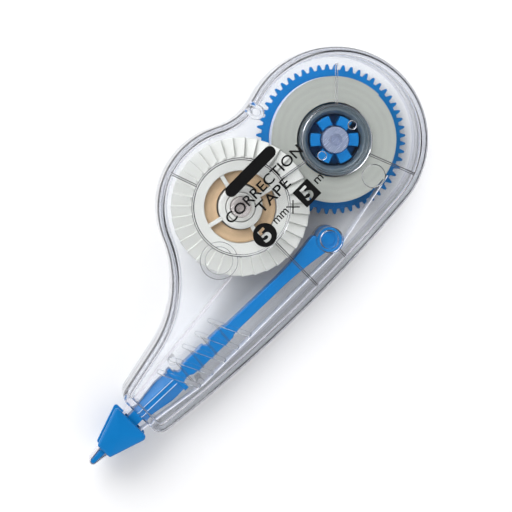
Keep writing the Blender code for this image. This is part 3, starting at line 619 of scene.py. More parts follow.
def dress(made, material, smooth=math.radians(35), outward=True):
    """Gives a mesh its material and normals that follow its large faces."""
    if outward:
        bm = bmesh.new()
        bm.from_mesh(made.data)
        bmesh.ops.recalc_face_normals(bm, faces=bm.faces)
        bm.to_mesh(made.data)
        bm.free()
    made.data.materials.clear()
    made.data.materials.append(material)
    made.data.shade_smooth()
    made.data.set_sharp_from_angle(angle=smooth)
    normals = made.modifiers.new("normals", "WEIGHTED_NORMAL")
    normals.keep_sharp = True
    normals.weight = LARGE_FACE_WEIGHT
    return settle(made)


def second_finish(made, material, chosen):
    """Gives the faces that are chosen another material."""
    made.data.materials.append(material)
    slot = len(made.data.materials) - 1
    for face in made.data.polygons:
        if chosen(face):
            face.material_index = slot


def stand_in(piece, body, node):
    """Makes a piece move with a body, and hides the CAD node that it stands for."""
    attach(piece, body)
    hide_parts(node)


# ---------------------------------------------------------------- node trees


def add_node(tree, kind, inputs=None, **settings):
    """Adds a node with its settings; an input takes a socket, which is linked, or a plain value."""
    node = tree.nodes.new(kind)
    for name, value in settings.items():
        setattr(node, name, value)
    for key, value in (inputs or {}).items():
        if isinstance(value, bpy.types.NodeSocket):
            tree.links.new(value, node.inputs[key])
        else:
            node.inputs[key].default_value = value
    return node


def geometry_tree(name, sockets):
    """An empty geometry tree with named inputs and one output."""
    tree = bpy.data.node_groups.new(name, "GeometryNodeTree")
    tree.interface.new_socket(name="Geometry", in_out="OUTPUT", socket_type="NodeSocketGeometry")
    for label, kind in sockets:
        tree.interface.new_socket(name=label, in_out="INPUT", socket_type="NodeSocket" + kind)
    return tree, add_node(tree, "NodeGroupInput").outputs


def end_tree(tree, geometry, material):
    """Realizes what the tree made, sets its material and sends it out."""
    real = add_node(tree, "GeometryNodeRealizeInstances", {"Geometry": geometry})
    merged = add_node(tree, "GeometryNodeMergeByDistance", {
        "Geometry": real.outputs[0], "Distance": MERGE_DISTANCE,
    })
    painted = add_node(tree, "GeometryNodeSetMaterial", {"Geometry": merged.outputs[0], "Material": material})
    add_node(tree, "NodeGroupOutput", {"Geometry": painted.outputs[0]})


def round_repeat_tree():
    """Repeats a mesh evenly round an upright axis: teeth, pleats, spokes and fingers."""
    tree, given = geometry_tree("round_repeat", [
        ("Piece", "Geometry"), ("Count", "Int"), ("Centre", "Vector"), ("Material", "Material"),
    ])
    points = add_node(tree, "GeometryNodeMeshLine", {
        "Count": given["Count"], "Start Location": given["Centre"], "Offset": NO_OFFSET,
    })
    index = add_node(tree, "GeometryNodeInputIndex")
    step = add_node(tree, "ShaderNodeMath", {0: 2 * math.pi, 1: given["Count"]}, operation="DIVIDE")
    turn = add_node(tree, "ShaderNodeMath", {0: index.outputs[0], 1: step.outputs[0]}, operation="MULTIPLY")
    euler = add_node(tree, "ShaderNodeCombineXYZ", {"Z": turn.outputs[0]})
    copies = add_node(tree, "GeometryNodeInstanceOnPoints", {
        "Points": points.outputs[0], "Instance": given["Piece"], "Rotation": euler.outputs[0],
    })
    end_tree(tree, copies.outputs[0], given["Material"])
    return tree


def row_repeat_tree():
    """Repeats a mesh along a straight row: the nose's ribs."""
    tree, given = geometry_tree("row_repeat", [
        ("Piece", "Geometry"), ("Count", "Int"), ("Pitch", "Vector"), ("Material", "Material"),
    ])
    points = add_node(tree, "GeometryNodeMeshLine", {
        "Count": given["Count"], "Offset": given["Pitch"],
    })
    copies = add_node(tree, "GeometryNodeInstanceOnPoints", {
        "Points": points.outputs[0], "Instance": given["Piece"],
    })
    end_tree(tree, copies.outputs[0], given["Material"])
    return tree


def coil_tree():
    """Winds a flat film into a coil, with each turn's edge at a slightly different height."""
    turn_steps = 2.6 / MM
    tree, given = geometry_tree("wound_coil", [
        ("Turns", "Float"), ("Steps", "Int"), ("Inner Radius", "Float"), ("Outer Radius", "Float"),
        ("Film", "Float"), ("Height", "Float"), ("Unevenness", "Float"), ("Seed", "Float"),
        ("Centre", "Vector"), ("Material", "Material"),
    ])
    spiral = add_node(tree, "GeometryNodeCurveSpiral", {
        "Resolution": given["Steps"], "Rotations": given["Turns"], "Start Radius": given["Inner Radius"],
        "End Radius": given["Outer Radius"], "Height": 0.0,
    })
    place = add_node(tree, "GeometryNodeInputPosition")
    reach = add_node(tree, "ShaderNodeVectorMath", {0: place.outputs[0]}, operation="LENGTH")
    noise = add_node(tree, "ShaderNodeTexNoise", {
        "Vector": reach.outputs["Value"], "W": given["Seed"], "Scale": turn_steps, "Detail": 1.0,
    }, noise_dimensions="4D")
    centred = add_node(tree, "ShaderNodeMath", {0: noise.outputs[0], 1: 0.5}, operation="SUBTRACT")
    rise = add_node(tree, "ShaderNodeMath", {
        0: centred.outputs[0], 1: given["Unevenness"],
    }, operation="MULTIPLY")
    offset = add_node(tree, "ShaderNodeCombineXYZ", {"Z": rise.outputs[0]})
    shift = add_node(tree, "ShaderNodeVectorMath", {
        0: offset.outputs[0], 1: given["Centre"],
    }, operation="ADD")
    moved = add_node(tree, "GeometryNodeSetPosition", {
        "Geometry": spiral.outputs[0], "Offset": shift.outputs[0],
    })
    upright = add_node(tree, "GeometryNodeSetCurveNormal", {"Curve": moved.outputs[0]}, mode="Z_UP")
    profile = add_node(tree, "GeometryNodeCurvePrimitiveQuadrilateral", {
        "Width": given["Film"], "Height": given["Height"],
    })
    film = add_node(tree, "GeometryNodeCurveToMesh", {
        "Curve": upright.outputs[0], "Profile Curve": profile.outputs[0], "Fill Caps": True,
    })
    end_tree(tree, film.outputs[0], given["Material"])
    return tree


def grow(name, tree, inputs, source=None):
    """Runs a geometry tree on a mesh and returns the plain result."""
    made = new_object(name, source.data if source else bpy.data.meshes.new(name))
    modifier = made.modifiers.new(name, "NODES")
    modifier.node_group = tree
    for item in tree.interface.items_tree:
        if item.in_out == "INPUT" and item.name in inputs:
            modifier[item.identifier] = inputs[item.name]
    settle(made)
    if source:
        bpy.data.objects.remove(source)
    return made


def at_height(centre, z=0.0):
    """A flat point as the plain numbers that a tree's vector input takes."""
    return (centre.x, centre.y, z)


# ---------------------------------------------------------------- materials

# How many marks of a pattern there are in a millimetre. The mould's grain, the film's fibres and the
# ink's mesh are finer than this in life, and are drawn this coarse so that they show.
MOULD_WAVES = 0.09 / MM
SCRATCHES = 0.42 / MM
SCRATCH_STRETCH = (1.0, 14.0, 1.0)
SCRATCH_TURN = (0.0, 0.0, 0.6)
FLOW_MARKS = 0.16 / MM
MOULD_GRAIN = 3.2 / MM
FILM_FIBRES = 1.5 / MM
COIL_CLOUDS = 0.12 / MM
FILM_RIPPLES = 0.26 / MM
INK_MESH = 2.4 / MM
PAPER_CLOUDS = 0.003 / MM
WAVE_PHASE = 20                     # radians that a wave texture runs through in one unit of its scale
PLASTIC_IOR = 1.49                  # the low end for these plastics, which keeps the clear walls light
FILM_IOR = 1.45
INK_IOR = 1.5
FULL_SPAN = (0.0, 1.0)


def shader_for(name, constants):
    """A new material, its tree, its shader with its constants set, and a source of object coordinates."""
    made = bpy.data.materials.new(name)
    made.use_nodes = True
    tree = made.node_tree
    shader = tree.nodes["Principled BSDF"]
    for key, value in constants.items():
        shader.inputs[key].default_value = value
    coords = add_node(tree, "ShaderNodeTexCoord").outputs["Object"]
    return made, tree, shader, coords


def finish_surface(tree, shader, colour, shade, gloss, relief):
    """Joins a surface's patterns to its shader. The shade of its colour and its roughness are each a
    pattern, the span of it that is used and what that becomes; its relief is a pattern, a strength and
    a depth."""
    values = []
    for pattern, (start, end), (low, high) in (shade, gloss):
        values.append(add_node(tree, "ShaderNodeMapRange", {
            "Value": pattern, "From Min": start, "From Max": end, "To Min": low, "To Max": high,
        }).outputs[0])
    tone = add_node(tree, "ShaderNodeHueSaturation", {"Value": values[0], "Color": (*colour, 1.0)})
    height, strength, depth = relief
    bump = add_node(tree, "ShaderNodeBump", {"Height": height, "Strength": strength, "Distance": depth})
    tree.links.new(tone.outputs[0], shader.inputs["Base Color"])
    tree.links.new(values[1], shader.inputs["Roughness"])
    tree.links.new(bump.outputs[0], shader.inputs["Normal"])


def clear_polystyrene(name, tint, offset, haze_low=0.012, haze_high=0.05, clearness=1.0):
    """Injection-moulded clear polystyrene: glass-like with a faint cool cast, slow waves from the mould
    and hair-fine handling scratches that soften its reflections in patches."""
    made, tree, shader, coords = shader_for(name, {
        "Base Color": (*tint, 1.0), "Transmission Weight": clearness, "IOR": PLASTIC_IOR,
    })
    along = add_node(tree, "ShaderNodeMapping", {
        "Vector": coords, "Location": offset, "Rotation": SCRATCH_TURN, "Scale": SCRATCH_STRETCH,
    })
    scratches = add_node(tree, "ShaderNodeTexNoise", {
        "Vector": along.outputs[0], "Scale": SCRATCHES, "Detail": 4.0, "Roughness": 0.6,
    })
    haze = add_node(tree, "ShaderNodeMapRange", {
        "Value": scratches.outputs[0], "From Min": 0.45, "From Max": 0.75, "To Min": haze_low,
        "To Max": haze_high,
    })
    waves = add_node(tree, "ShaderNodeTexNoise", {"Vector": coords, "Scale": MOULD_WAVES, "Detail": 1.0})
    bump = add_node(tree, "ShaderNodeBump", {
        "Height": waves.outputs[0], "Strength": 0.05, "Distance": 0.15 * MM,
    })
    tree.links.new(haze.outputs[0], shader.inputs["Roughness"])
    tree.links.new(bump.outputs[0], shader.inputs["Normal"])
    return made


def moulded_plastic(name, colour, roughness, mottle, grain, sheen=0.0, shine=0.5):
    """Moulded satin plastic: a fine spark-eroded grain, slight flow marks in the colour, and patches
    that are more polished than others."""
    made, tree, shader, coords = shader_for(name, {
        "IOR": PLASTIC_IOR, "Coat Weight": sheen, "Specular IOR Level": shine, "Coat Roughness": 0.12,
    })
    flow = add_node(tree, "ShaderNodeTexNoise", {"Vector": coords, "Scale": FLOW_MARKS, "Detail": 3.0})
    speck = add_node(tree, "ShaderNodeTexNoise", {"Vector": coords, "Scale": MOULD_GRAIN, "Detail": 2.0})
    shade = flow.outputs[0], (0.3, 0.7), (1 - mottle, 1 + mottle)
    gloss = flow.outputs[0], FULL_SPAN, (roughness * 0.8, roughness * 1.25)
    finish_surface(tree, shader, colour, shade, gloss, (speck.outputs[0], grain, 0.02 * MM))
    return made


def coil_edge(name, colour, centre, turn_pitch, contrast, roughness):
    """The edge of a wound coil of film: hundreds of thin turns that show as fine rings, some lighter
    and some standing slightly proud; the rings are drawn coarser than the real film so that they show."""
    made, tree, shader, coords = shader_for(name, {"IOR": FILM_IOR})
    centred = add_node(tree, "ShaderNodeMapping", {
        "Vector": coords, "Location": (-centre.x, -centre.y, 0.0),
    })
    rings = add_node(tree, "ShaderNodeTexWave", {
        "Vector": centred.outputs[0], "Scale": 1 / (WAVE_PHASE * turn_pitch), "Distortion": 1.4,
        "Detail": 3.0, "Detail Scale": 3.0,
    }, wave_type="RINGS", rings_direction="Z")
    fibres = add_node(tree, "ShaderNodeTexNoise", {"Vector": coords, "Scale": FILM_FIBRES, "Detail": 4.0})
    cloud = add_node(tree, "ShaderNodeTexNoise", {"Vector": coords, "Scale": COIL_CLOUDS, "Detail": 2.0})
    mixed = add_node(tree, "ShaderNodeMix", {0: 0.35, 2: rings.outputs["Fac"], 3: fibres.outputs[0]})
    blotch = add_node(tree, "ShaderNodeMix", {0: 0.3, 2: mixed.outputs[0], 3: cloud.outputs[0]})
    shade = blotch.outputs[0], (0.2, 0.8), (1 - contrast, 1 + contrast)
    gloss = fibres.outputs[0], FULL_SPAN, (roughness * 0.85, min(1.0, roughness * 1.15))
    finish_surface(tree, shader, colour, shade, gloss, (mixed.outputs[0], 0.25, 0.03 * MM))
    return made


def thin_film(name, colour, alpha, roughness):
    """A single thickness of coated or glassine film: milky, slightly rippled where it is under tension."""
    made, tree, shader, coords = shader_for(name, {"IOR": FILM_IOR, "Alpha": alpha})
    ripple = add_node(tree, "ShaderNodeTexNoise", {"Vector": coords, "Scale": FILM_RIPPLES, "Detail": 2.0})
    shade = ripple.outputs[0], FULL_SPAN, (0.93, 1.05)
    gloss = ripple.outputs[0], FULL_SPAN, (roughness * 0.8, roughness * 1.2)
    finish_surface(tree, shader, colour, shade, gloss, (ripple.outputs[0], 0.15, 0.1 * MM))
    return made


def screen_ink(name, colour):
    """Screen-printed ink on polystyrene: dense black with a slight mesh texture and a low gloss."""
    made, tree, shader, coords = shader_for(name, {"IOR": INK_IOR, "Specular IOR Level": 0.2})
    grain = add_node(tree, "ShaderNodeTexNoise", {"Vector": coords, "Scale": INK_MESH, "Detail": 3.0})
    shade = grain.outputs[0], FULL_SPAN, (0.7, 1.4)
    gloss = grain.outputs[0], FULL_SPAN, (0.35, 0.55)
    finish_surface(tree, shader, colour, shade, gloss, (grain.outputs[0], 0.2, 0.01 * MM))
    return made


def seamless_paper(name, colour):
    """Matt studio paper: nearly even, with a cloud so faint that it only keeps the tone from being flat."""
    made, tree, shader, coords = shader_for(name, {"Roughness": 0.9})
    cloud = add_node(tree, "ShaderNodeTexNoise", {"Vector": coords, "Scale": PAPER_CLOUDS})
    shade = add_node(tree, "ShaderNodeMapRange", {
        "Value": cloud.outputs[0], "To Min": 0.99, "To Max": 1.01,
    })
    tone = add_node(tree, "ShaderNodeHueSaturation", {
        "Value": shade.outputs[0], "Color": (*colour, 1.0),
    })
    tree.links.new(tone.outputs[0], shader.inputs["Base Color"])
    return made


# ---------------------------------------------------------------- case


def tray_loops(case, face_z, floor_z, rim_z, lip_z, lip_inset):
    """Loops of a tray with rounded edges and a stepped rim, from its outer face round to its floor."""
    towards = 1 if rim_z > face_z else -1
    edge_steps = 8
    fillet_steps = 4
    loops = []
    for i in range(edge_steps + 1):
        swing = math.pi / 2 * i / edge_steps
        outline = case_outline(case.edge_round * (1 - math.sin(swing)))
        loops.append(level(outline, face_z + towards * case.edge_round * (1 - math.cos(swing))))
    loops.append(level(case_outline(0), rim_z - towards * FINE_EDGE))
    loops.append(level(case_outline(FINE_EDGE), rim_z))
    loops.append(level(case_outline(lip_inset), rim_z))
    loops.append(level(case_outline(lip_inset), lip_z))
    loops.append(level(case_outline(WALL), lip_z))
    for i in range(fillet_steps + 1):
        swing = math.pi / 2 * i / fillet_steps
        outline = case_outline(WALL + case.floor_fillet * (1 - math.cos(swing)))
        loops.append(level(outline, floor_z + towards * case.floor_fillet * (1 - math.sin(swing))))
    return loops


def mouth_cutter(name):
    """The slot in the nose through which the neck and both films pass."""
    slot = box_outline(Vector((NOSE_X + WALL / 2, TIP_Y)), 1.5 * WALL, MOUTH_HALF_WIDTH)
    return prism(name, slot, TAPE_Z - MOUTH_MARGIN, TAPE_TOP_Z + MOUTH_MARGIN)


def back_shell_mesh(case):
    """The back shell: a tray with two reel posts on collars, the arm's peg, and the pins."""
    lip = PARTING_Z + LIP_HEIGHT, LIP_INSET + PARTING_GAP
    body = skin("case_back", tray_loops(case, 0.0, FLOOR, PARTING_Z, *lip))
    root_z = FLOOR - OVERLAP
    collar_z = GEAR_Z - 0.2 * MM
    pin_z = TAPE_TOP_Z + 0.3 * MM
    added = []
    for label, centre, radius in (
        ("supply", SUPPLY_CENTRE, SUPPLY_POST_RADIUS),
        ("takeup", TAKEUP_CENTRE, TAKEUP_POST_RADIUS),
    ):
        added.append(prism(label + "_post", circle(centre, radius), root_z, POST_TOP_Z, 0, 0.2 * MM))
        collar = circle(centre, radius + COLLAR_WIDTH)
        added.append(prism(label + "_collar", collar, root_z, collar_z, 0, RIB_CHAMFER, 1))
    for label, centre, radius, top in (
        ("eye_peg", EYE_CENTRE, EYE_PEG_RADIUS, ARM_TOP_Z - EYE_CAP - CLEARANCE),
        ("eye_seat", EYE_CENTRE, EYE_RADIUS, ARM_Z - CLEARANCE),
        ("upper_pin", UPPER_PIN, UPPER_PIN_RADIUS, pin_z),
        ("lower_pin", LOWER_PIN, LOWER_PIN_RADIUS, pin_z),
        ("snap_pin", SNAP_PIN, SNAP_PIN_RADIUS, ROOF_Z - SNAP_DEPTH),
    ):
        added.append(prism(label, circle(centre, radius, PIN_STEPS), root_z, top, 0, RIB_CHAMFER, 2))
    combine(body, added, "UNION")
    cut = []
    for label, centre in (("supply_bore", SUPPLY_CENTRE), ("takeup_bore", TAKEUP_CENTRE)):
        bore = circle(centre, POST_BORE_RADIUS, PIN_STEPS)
        cut.append(prism(label, bore, POST_TOP_Z - POST_BORE_DEPTH, POST_TOP_Z + OVERLAP))
    return combine(body, cut + [mouth_cutter("back_mouth")], "DIFFERENCE")


def roof_ribs(case, ceiling):
    """The ridges over both reels and the stiffening ribs that run out from them."""
    made = []
    for label, centre, inner, outer, below in (
        ("supply_ridge", SUPPLY_CENTRE, SUPPLY_RIDGE_RADIUS - RIDGE_WIDTH, SUPPLY_RIDGE_RADIUS, CORE_TOP_Z),
        ("takeup_ridge", TAKEUP_CENTRE, TAKEUP_RIDGE_RADIUS - RIDGE_WIDTH, TAKEUP_RIDGE_RADIUS, PLEAT_TOP_Z),
        ("eye_ridge", EYE_CENTRE, EYE_PEG_RADIUS + RIDGE_WIDTH, EYE_RADIUS, ARM_TOP_Z),
    ):
        made.append(ridge(label, centre, inner, outer, below + CLEARANCE, ceiling))
    supply_start = SUPPLY_RIDGE_RADIUS - RIDGE_WIDTH / 2
    takeup_start = TAKEUP_RIDGE_RADIUS - RIDGE_WIDTH / 2
    bridge_end = (TAKEUP_CENTRE - SUPPLY_CENTRE).length - takeup_start
    for label, centre, degrees, start, end in (
        ("tail_rib", SUPPLY_CENTRE, 44.5, supply_start, 14.4 * MM),
        ("side_rib", SUPPLY_CENTRE, -68.7, supply_start, None),
        ("bridge_rib", SUPPLY_CENTRE, 170.0, supply_start, bridge_end),
        ("cross_rib", TAKEUP_CENTRE, -91.0, takeup_start, None),
        ("crown_rib", TAKEUP_CENTRE, 109.0, takeup_start, None),
        ("eye_rib", EYE_CENTRE, -92.0, EYE_RADIUS - RIDGE_WIDTH / 2, None),
    ):
        out = direction(math.radians(degrees))
        end = end or reach_to_wall(centre, out)
        outline = bar_outline(centre + start * out, centre + end * out, RIB_WIDTH)
        made.append(prism(label, outline, ROOF_Z - case.rib_depth, ceiling, RIB_CHAMFER, 0, 1))
    return made


def nose_ribs(repeat, ceiling, material):
    """The slanted guide ribs over the arm, and the thin ribs that zigzag between them."""
    rib = capsule_outline(NOSE_RIB_START, NOSE_RIB_LENGTH, NOSE_RIB_WIDTH, NOSE_RIB_LEAN)
    guide = prism("guide_rib", rib, ROOF_Z - NOSE_RIB_DEPTH, ceiling, RIB_CHAMFER, 0, 2)
    end_gap = 1.2 * MM
    side_gap = 0.1 * MM
    reach = direction(NOSE_RIB_LEAN) * (NOSE_RIB_LENGTH / 2 - end_gap)
    link_start = NOSE_RIB_START - reach - Vector((side_gap, 0))
    link_end = NOSE_RIB_START + reach - Vector((NOSE_RIB_PITCH - side_gap, 0))
    link = bar_outline(link_start, link_end, LINK_RIB_WIDTH)
    link = prism("link_rib", link, ROOF_Z - LINK_RIB_DEPTH, ceiling, FINE_EDGE, 0, 1)
    row = {"Pitch": (-NOSE_RIB_PITCH, 0.0, 0.0), "Material": material}
    return [
        grow("guide_ribs", repeat, {**row, "Count": NOSE_RIBS}, guide),
        grow("link_ribs", repeat, {**row, "Count": NOSE_RIBS - 1}, link),
    ]


def roof_studs(ceiling):
    """The low round studs under the roof, each at an angle in degrees and a reach in millimetres from a
    reel's centre, with a radius in millimetres."""
    made = []
    for label, centre, degrees, reach, radius, depth in (
        ("takeup_stud", TAKEUP_CENTRE, 202.0, 10.9, 2.75, STUD_DEPTH),
        ("takeup_stud_foot", TAKEUP_CENTRE, 202.0, 10.9, 3.6, STUD_DEPTH * 0.6),
        ("supply_stud", SUPPLY_CENTRE, -89.0, 9.9, 2.3, STUD_DEPTH),
        ("hub_stud_front", SUPPLY_CENTRE, -2.4, 4.15, 0.9, STUD_DEPTH),
        ("hub_stud_rear", SUPPLY_CENTRE, 182.6, 4.0, 0.9, STUD_DEPTH),
    ):
        middle = centre + reach * MM * direction(math.radians(degrees))
        outline = circle(middle, radius * MM, 60)
        made.append(prism(label, outline, ROOF_Z - depth, ceiling, 0.95 * depth, 0, 5))
    return made


def front_shell_mesh(case, material):
    """The front shell: a tray with ridges, ribs, spigots, a snap socket, studs and the nose's ribs."""
    rim_z = PARTING_Z + PARTING_GAP
    face_z = PRINT_Z - PRINT_GAP
    body = skin("case_front", tray_loops(case, face_z, ROOF_Z, rim_z, rim_z + LIP_HEIGHT, LIP_INSET))
    ceiling = ROOF_Z + OVERLAP
    spigot_z = POST_TOP_Z - POST_BORE_DEPTH + SPIGOT_TO_BORE_END
    added = roof_ribs(case, ceiling)
    for label, centre in (("supply_spigot", SUPPLY_CENTRE), ("takeup_spigot", TAKEUP_CENTRE)):
        added.append(prism(label, circle(centre, SPIGOT_RADIUS, PIN_STEPS), spigot_z, ceiling, SMALL_EDGE))
    socket = circle(SNAP_PIN, SNAP_SOCKET_RADIUS, PIN_STEPS)
    added.append(prism("snap_socket", socket, ROOF_Z - 2 * SNAP_DEPTH, ceiling, RIB_CHAMFER, 0, 2))
    added += roof_studs(ceiling) + nose_ribs(row_repeat_tree(), ceiling, material)
    combine(body, added, "UNION")
    hole = circle(SNAP_PIN, SNAP_PIN_RADIUS + RUN_GAP, PIN_STEPS)
    hole = prism("snap_hole", hole, PARTING_Z - OVERLAP, ROOF_Z - SNAP_DEPTH + RUN_GAP)
    return combine(body, [hole, mouth_cutter("front_mouth")], "DIFFERENCE")


def satin_shaded_sides(shell, tint, offset):
    """Gives a shell's walls and rounded edges the softer finish that the mould's sides leave, and a greyer
    tint that is painted shade: the grey that clear edges show where they bend the light.
    """
    nearly_level = 0.96
    satin = clear_polystyrene(shell.name + "_satin_shaded_sides", tint, offset, haze_low=0.05, haze_high=0.1)
    second_finish(shell, satin, lambda face: abs(face.normal.z) < nearly_level)


def milky_post_painted_light(shell, name, centre, radius, tint):
    """Gives a post's upper faces a milky, half-clear finish. This lightens a post that would otherwise sit
    dark over its shaded floor, and its cast is a painted reflection of what stands round it.
    """
    milky = clear_polystyrene(
        name, tint, (0.01, 0.0, 0.02), haze_low=0.2, haze_high=0.35, clearness=0.5
    )
    reach = radius + 0.05 * MM
    low = TAPE_Z + 1.5 * MM
    second_finish(
        shell, milky, lambda face: (face.center.xy - centre).length < reach and face.center.z > low
    )


class ROLLER_OT_back_shell(bpy.types.Operator):
    """Builds the back shell with its posts and pins"""

    bl_idname = "roller.back_shell"
    bl_label = "Back Shell"

    def execute(self, context):
        case = context.scene.roller_case
        clear = clear_polystyrene("clear_polystyrene_back", case.tint, (0.02, 0.01, 0.0))
        shell = dress(back_shell_mesh(case), clear, SHELL_SMOOTH, outward=False)
        satin_shaded_sides(shell, case.side_shade_tint, (0.01, 0.02, 0.0))
        milky_post_painted_light(shell, "supply_post_painted_light", SUPPLY_CENTRE, SUPPLY_POST_RADIUS, case.supply_post)
        milky_post_painted_light(shell, "takeup_post_painted_light", TAKEUP_CENTRE, TAKEUP_POST_RADIUS, case.takeup_post)
        shell.visible_shadow = False
        stand_in(shell, "case", "back_cover")
        return {"FINISHED"}


class ROLLER_OT_front_shell(bpy.types.Operator):
    """Builds the front shell with its ridges, ribs and studs"""

    bl_idname = "roller.front_shell"
    bl_label = "Front Shell"

    def execute(self, context):
        case = context.scene.roller_case
        clear = clear_polystyrene("clear_polystyrene_front", case.tint, (0.0, 0.03, 0.01))
        shell = dress(front_shell_mesh(case, clear), clear, SHELL_SMOOTH, outward=False)
        satin_shaded_sides(shell, case.side_shade_tint, (0.02, 0.0, 0.01))
        shell.visible_shadow = False
        stand_in(shell, "case", "front_cover")
        return {"FINISHED"}


# ---------------------------------------------------------------- supply reel


def tooth_outline(teeth, tooth_at):
    """One tooth with half a gap on each side, as (radius, angle, lift)."""
    pitch = MODULE * teeth / 2
    base = pitch * math.cos(PRESSURE_ANGLE)
    tip = pitch + ADDENDUM * MODULE
    root = pitch - DEDENDUM * MODULE

    def involute(radius):
        turn = math.acos(min(1.0, base / radius))
        return math.tan(turn) - turn

    def half_angle(radius):
        half_at_pitch = math.pi / (2 * teeth) - BACKLASH / (2 * pitch)
        return half_at_pitch + involute(pitch) - involute(max(radius, base))

    flank = [root + 0.1 * MODULE, pitch - 0.3 * MODULE, pitch + 0.3 * MODULE, tip - 0.12 * MODULE]
    rise = [(root, -math.pi / teeth), (root, -half_angle(root) * 1.12)]
    rise += [(radius, -half_angle(radius)) for radius in flank]
    rise.append((tip, -half_angle(tip) * 0.55))
    both = rise + [(radius, -angle) for radius, angle in reversed(rise)]
    return [(radius, tooth_at + angle, 0.0) for radius, angle in both]


def sector(name, outline, rings):
    """One share of a wheel. A ring is (radius, height, lift): a radius of zero or less is that far inside
    the outline, and the lift raises the outline's own lifted points."""
    loops = []
    for ring_radius, z, lift in rings:
        loops.append([
            Vector((*(direction(angle) * (ring_radius if ring_radius > 0 else radius + ring_radius)),
                    z + lift * share))
            for radius, angle, share in outline
        ])
    return skin(name, loops, around=False, through=True)


def wheel_rings(bore, hub, rim):
    """A gear's section: a plain upper face, and a lower one with a recess between its hub and its rim."""
    edge = FINE_EDGE
    slope = 0.15 * MM
    recess_z = GEAR_Z + GEAR_RECESS
    return [
        (bore, GEAR_Z, 0), (hub, GEAR_Z, 0), (hub + slope, recess_z, 0), (rim - slope, recess_z, 0),
        (rim, GEAR_Z, 0), (-edge, GEAR_Z, 0), (0, GEAR_Z + edge, 0), (0, GEAR_TOP_Z - edge, 0),
        (-edge, GEAR_TOP_Z, 0), (bore, GEAR_TOP_Z, 0),
    ]


def drive_gear(repeat, blue):
    """The drive gear with its hub of springy fingers that grip the bobbin."""
    bore = SUPPLY_POST_RADIUS + RUN_GAP
    root = bore + JOIN_DEPTH
    grip = CORE_INNER_RADIUS - 0.3 * MM
    base_low, base_high = GEAR_TOP_Z - JOIN_DEPTH, TAPE_Z + 1.0 * MM
    wheel = sector("gear_tooth", tooth_outline(SUPPLY_TEETH, TAKEUP_DIRECTION),
                   wheel_rings(bore, GEAR_HUB_RADIUS, GEAR_RIM_RADIUS))
    brace = bar_outline(Vector((GEAR_HUB_RADIUS - JOIN_DEPTH, 0.0)),
                        Vector((GEAR_RIM_RADIUS + JOIN_DEPTH, 0.0)), GEAR_BRACE_WIDTH)
    brace = prism("gear_brace", brace, GEAR_Z + JOIN_DEPTH, GEAR_Z + GEAR_BRACE_TOP, 0.05 * MM, 0, 1)
    half = math.asin(FINGER_HALF_WIDTH / grip)
    root_half = math.asin(FINGER_ROOT_HALF_WIDTH / root)
    at = FINGER_DIRECTION
    finger = arc(ORIGIN, grip, at - half, at + half, half / 4)
    finger += arc(ORIGIN, root, at + root_half, at - root_half, root_half / 3)
    finger = prism("finger", finger, base_high - OVERLAP, CORE_TOP_Z, 0, 0.22 * MM, 3)
    parts = [turned("finger_base", SUPPLY_CENTRE, rounded_profile([
        (bore, base_low), (grip, base_low), (grip, base_high), (bore, base_high),
    ], 0.1 * MM))]
    around = {"Centre": at_height(SUPPLY_CENTRE), "Material": blue}
    for name, count, piece in (
        ("gear_teeth", SUPPLY_TEETH, wheel),
        ("gear_braces", FINGER_COUNT, brace),
        ("fingers", FINGER_COUNT, finger),
    ):
        parts.append(grow(name, repeat, {**around, "Count": count}, piece))
    return dress(joined("drive_gear", parts), blue, WHEEL_SMOOTH)


def bobbin(smoke):
    """The smoke-tinted bobbin, with two rounded lips round its funnel."""
    lips = ((0.0, 0.0), (0.55, 0.0), (0.62, 0.28), (0.8, 0.28), (0.9, 0.05), (1.25, 0.1))
    funnel = ((0.25, 0.75), (0.0, 1.2))
    corners = [(CORE_INNER_RADIUS, CORE_Z), (CORE_OUTER_RADIUS, CORE_Z)]
    corners += [(CORE_OUTER_RADIUS - inwards * MM, CORE_TOP_Z - drop * MM) for inwards, drop in lips]
    corners += [(CORE_INNER_RADIUS + outwards * MM, CORE_TOP_Z - drop * MM) for outwards, drop in funnel]
    profile = rounded_profile(corners, 0.16 * MM)
    return dress(turned("bobbin", SUPPLY_CENTRE, profile, REEL_STEPS), smoke, math.radians(50))


def coil(name, tree, centre, inner, outer, turns, material, seed):
    """A wound coil whose turns nearly touch."""
    pitch = (outer - inner) / turns
    film_share = 0.97
    spare = 0.06 * MM
    middle_z = (TAPE_Z + TAPE_TOP_Z) / 2 - 0.01 * MM
    made = grow(name, tree, {
        "Turns": float(turns - 1), "Steps": REEL_STEPS, "Film": pitch * film_share,
        "Inner Radius": inner + pitch / 2, "Outer Radius": outer - pitch / 2,
        "Height": TAPE_TOP_Z - TAPE_Z - spare, "Unevenness": 0.03 * MM, "Seed": seed,
        "Centre": at_height(centre, middle_z), "Material": material,
    })
    return dress(made, material, FILM_SMOOTH)


def light_outer_turn(made, centre, radius, material):
    """Gives a coil's last turn the brighter look of a film seen on its face."""
    upright = 0.5
    second_finish(
        made, material,
        lambda face: abs(face.normal.z) < upright and (face.center.xy - centre).length > radius,
    )


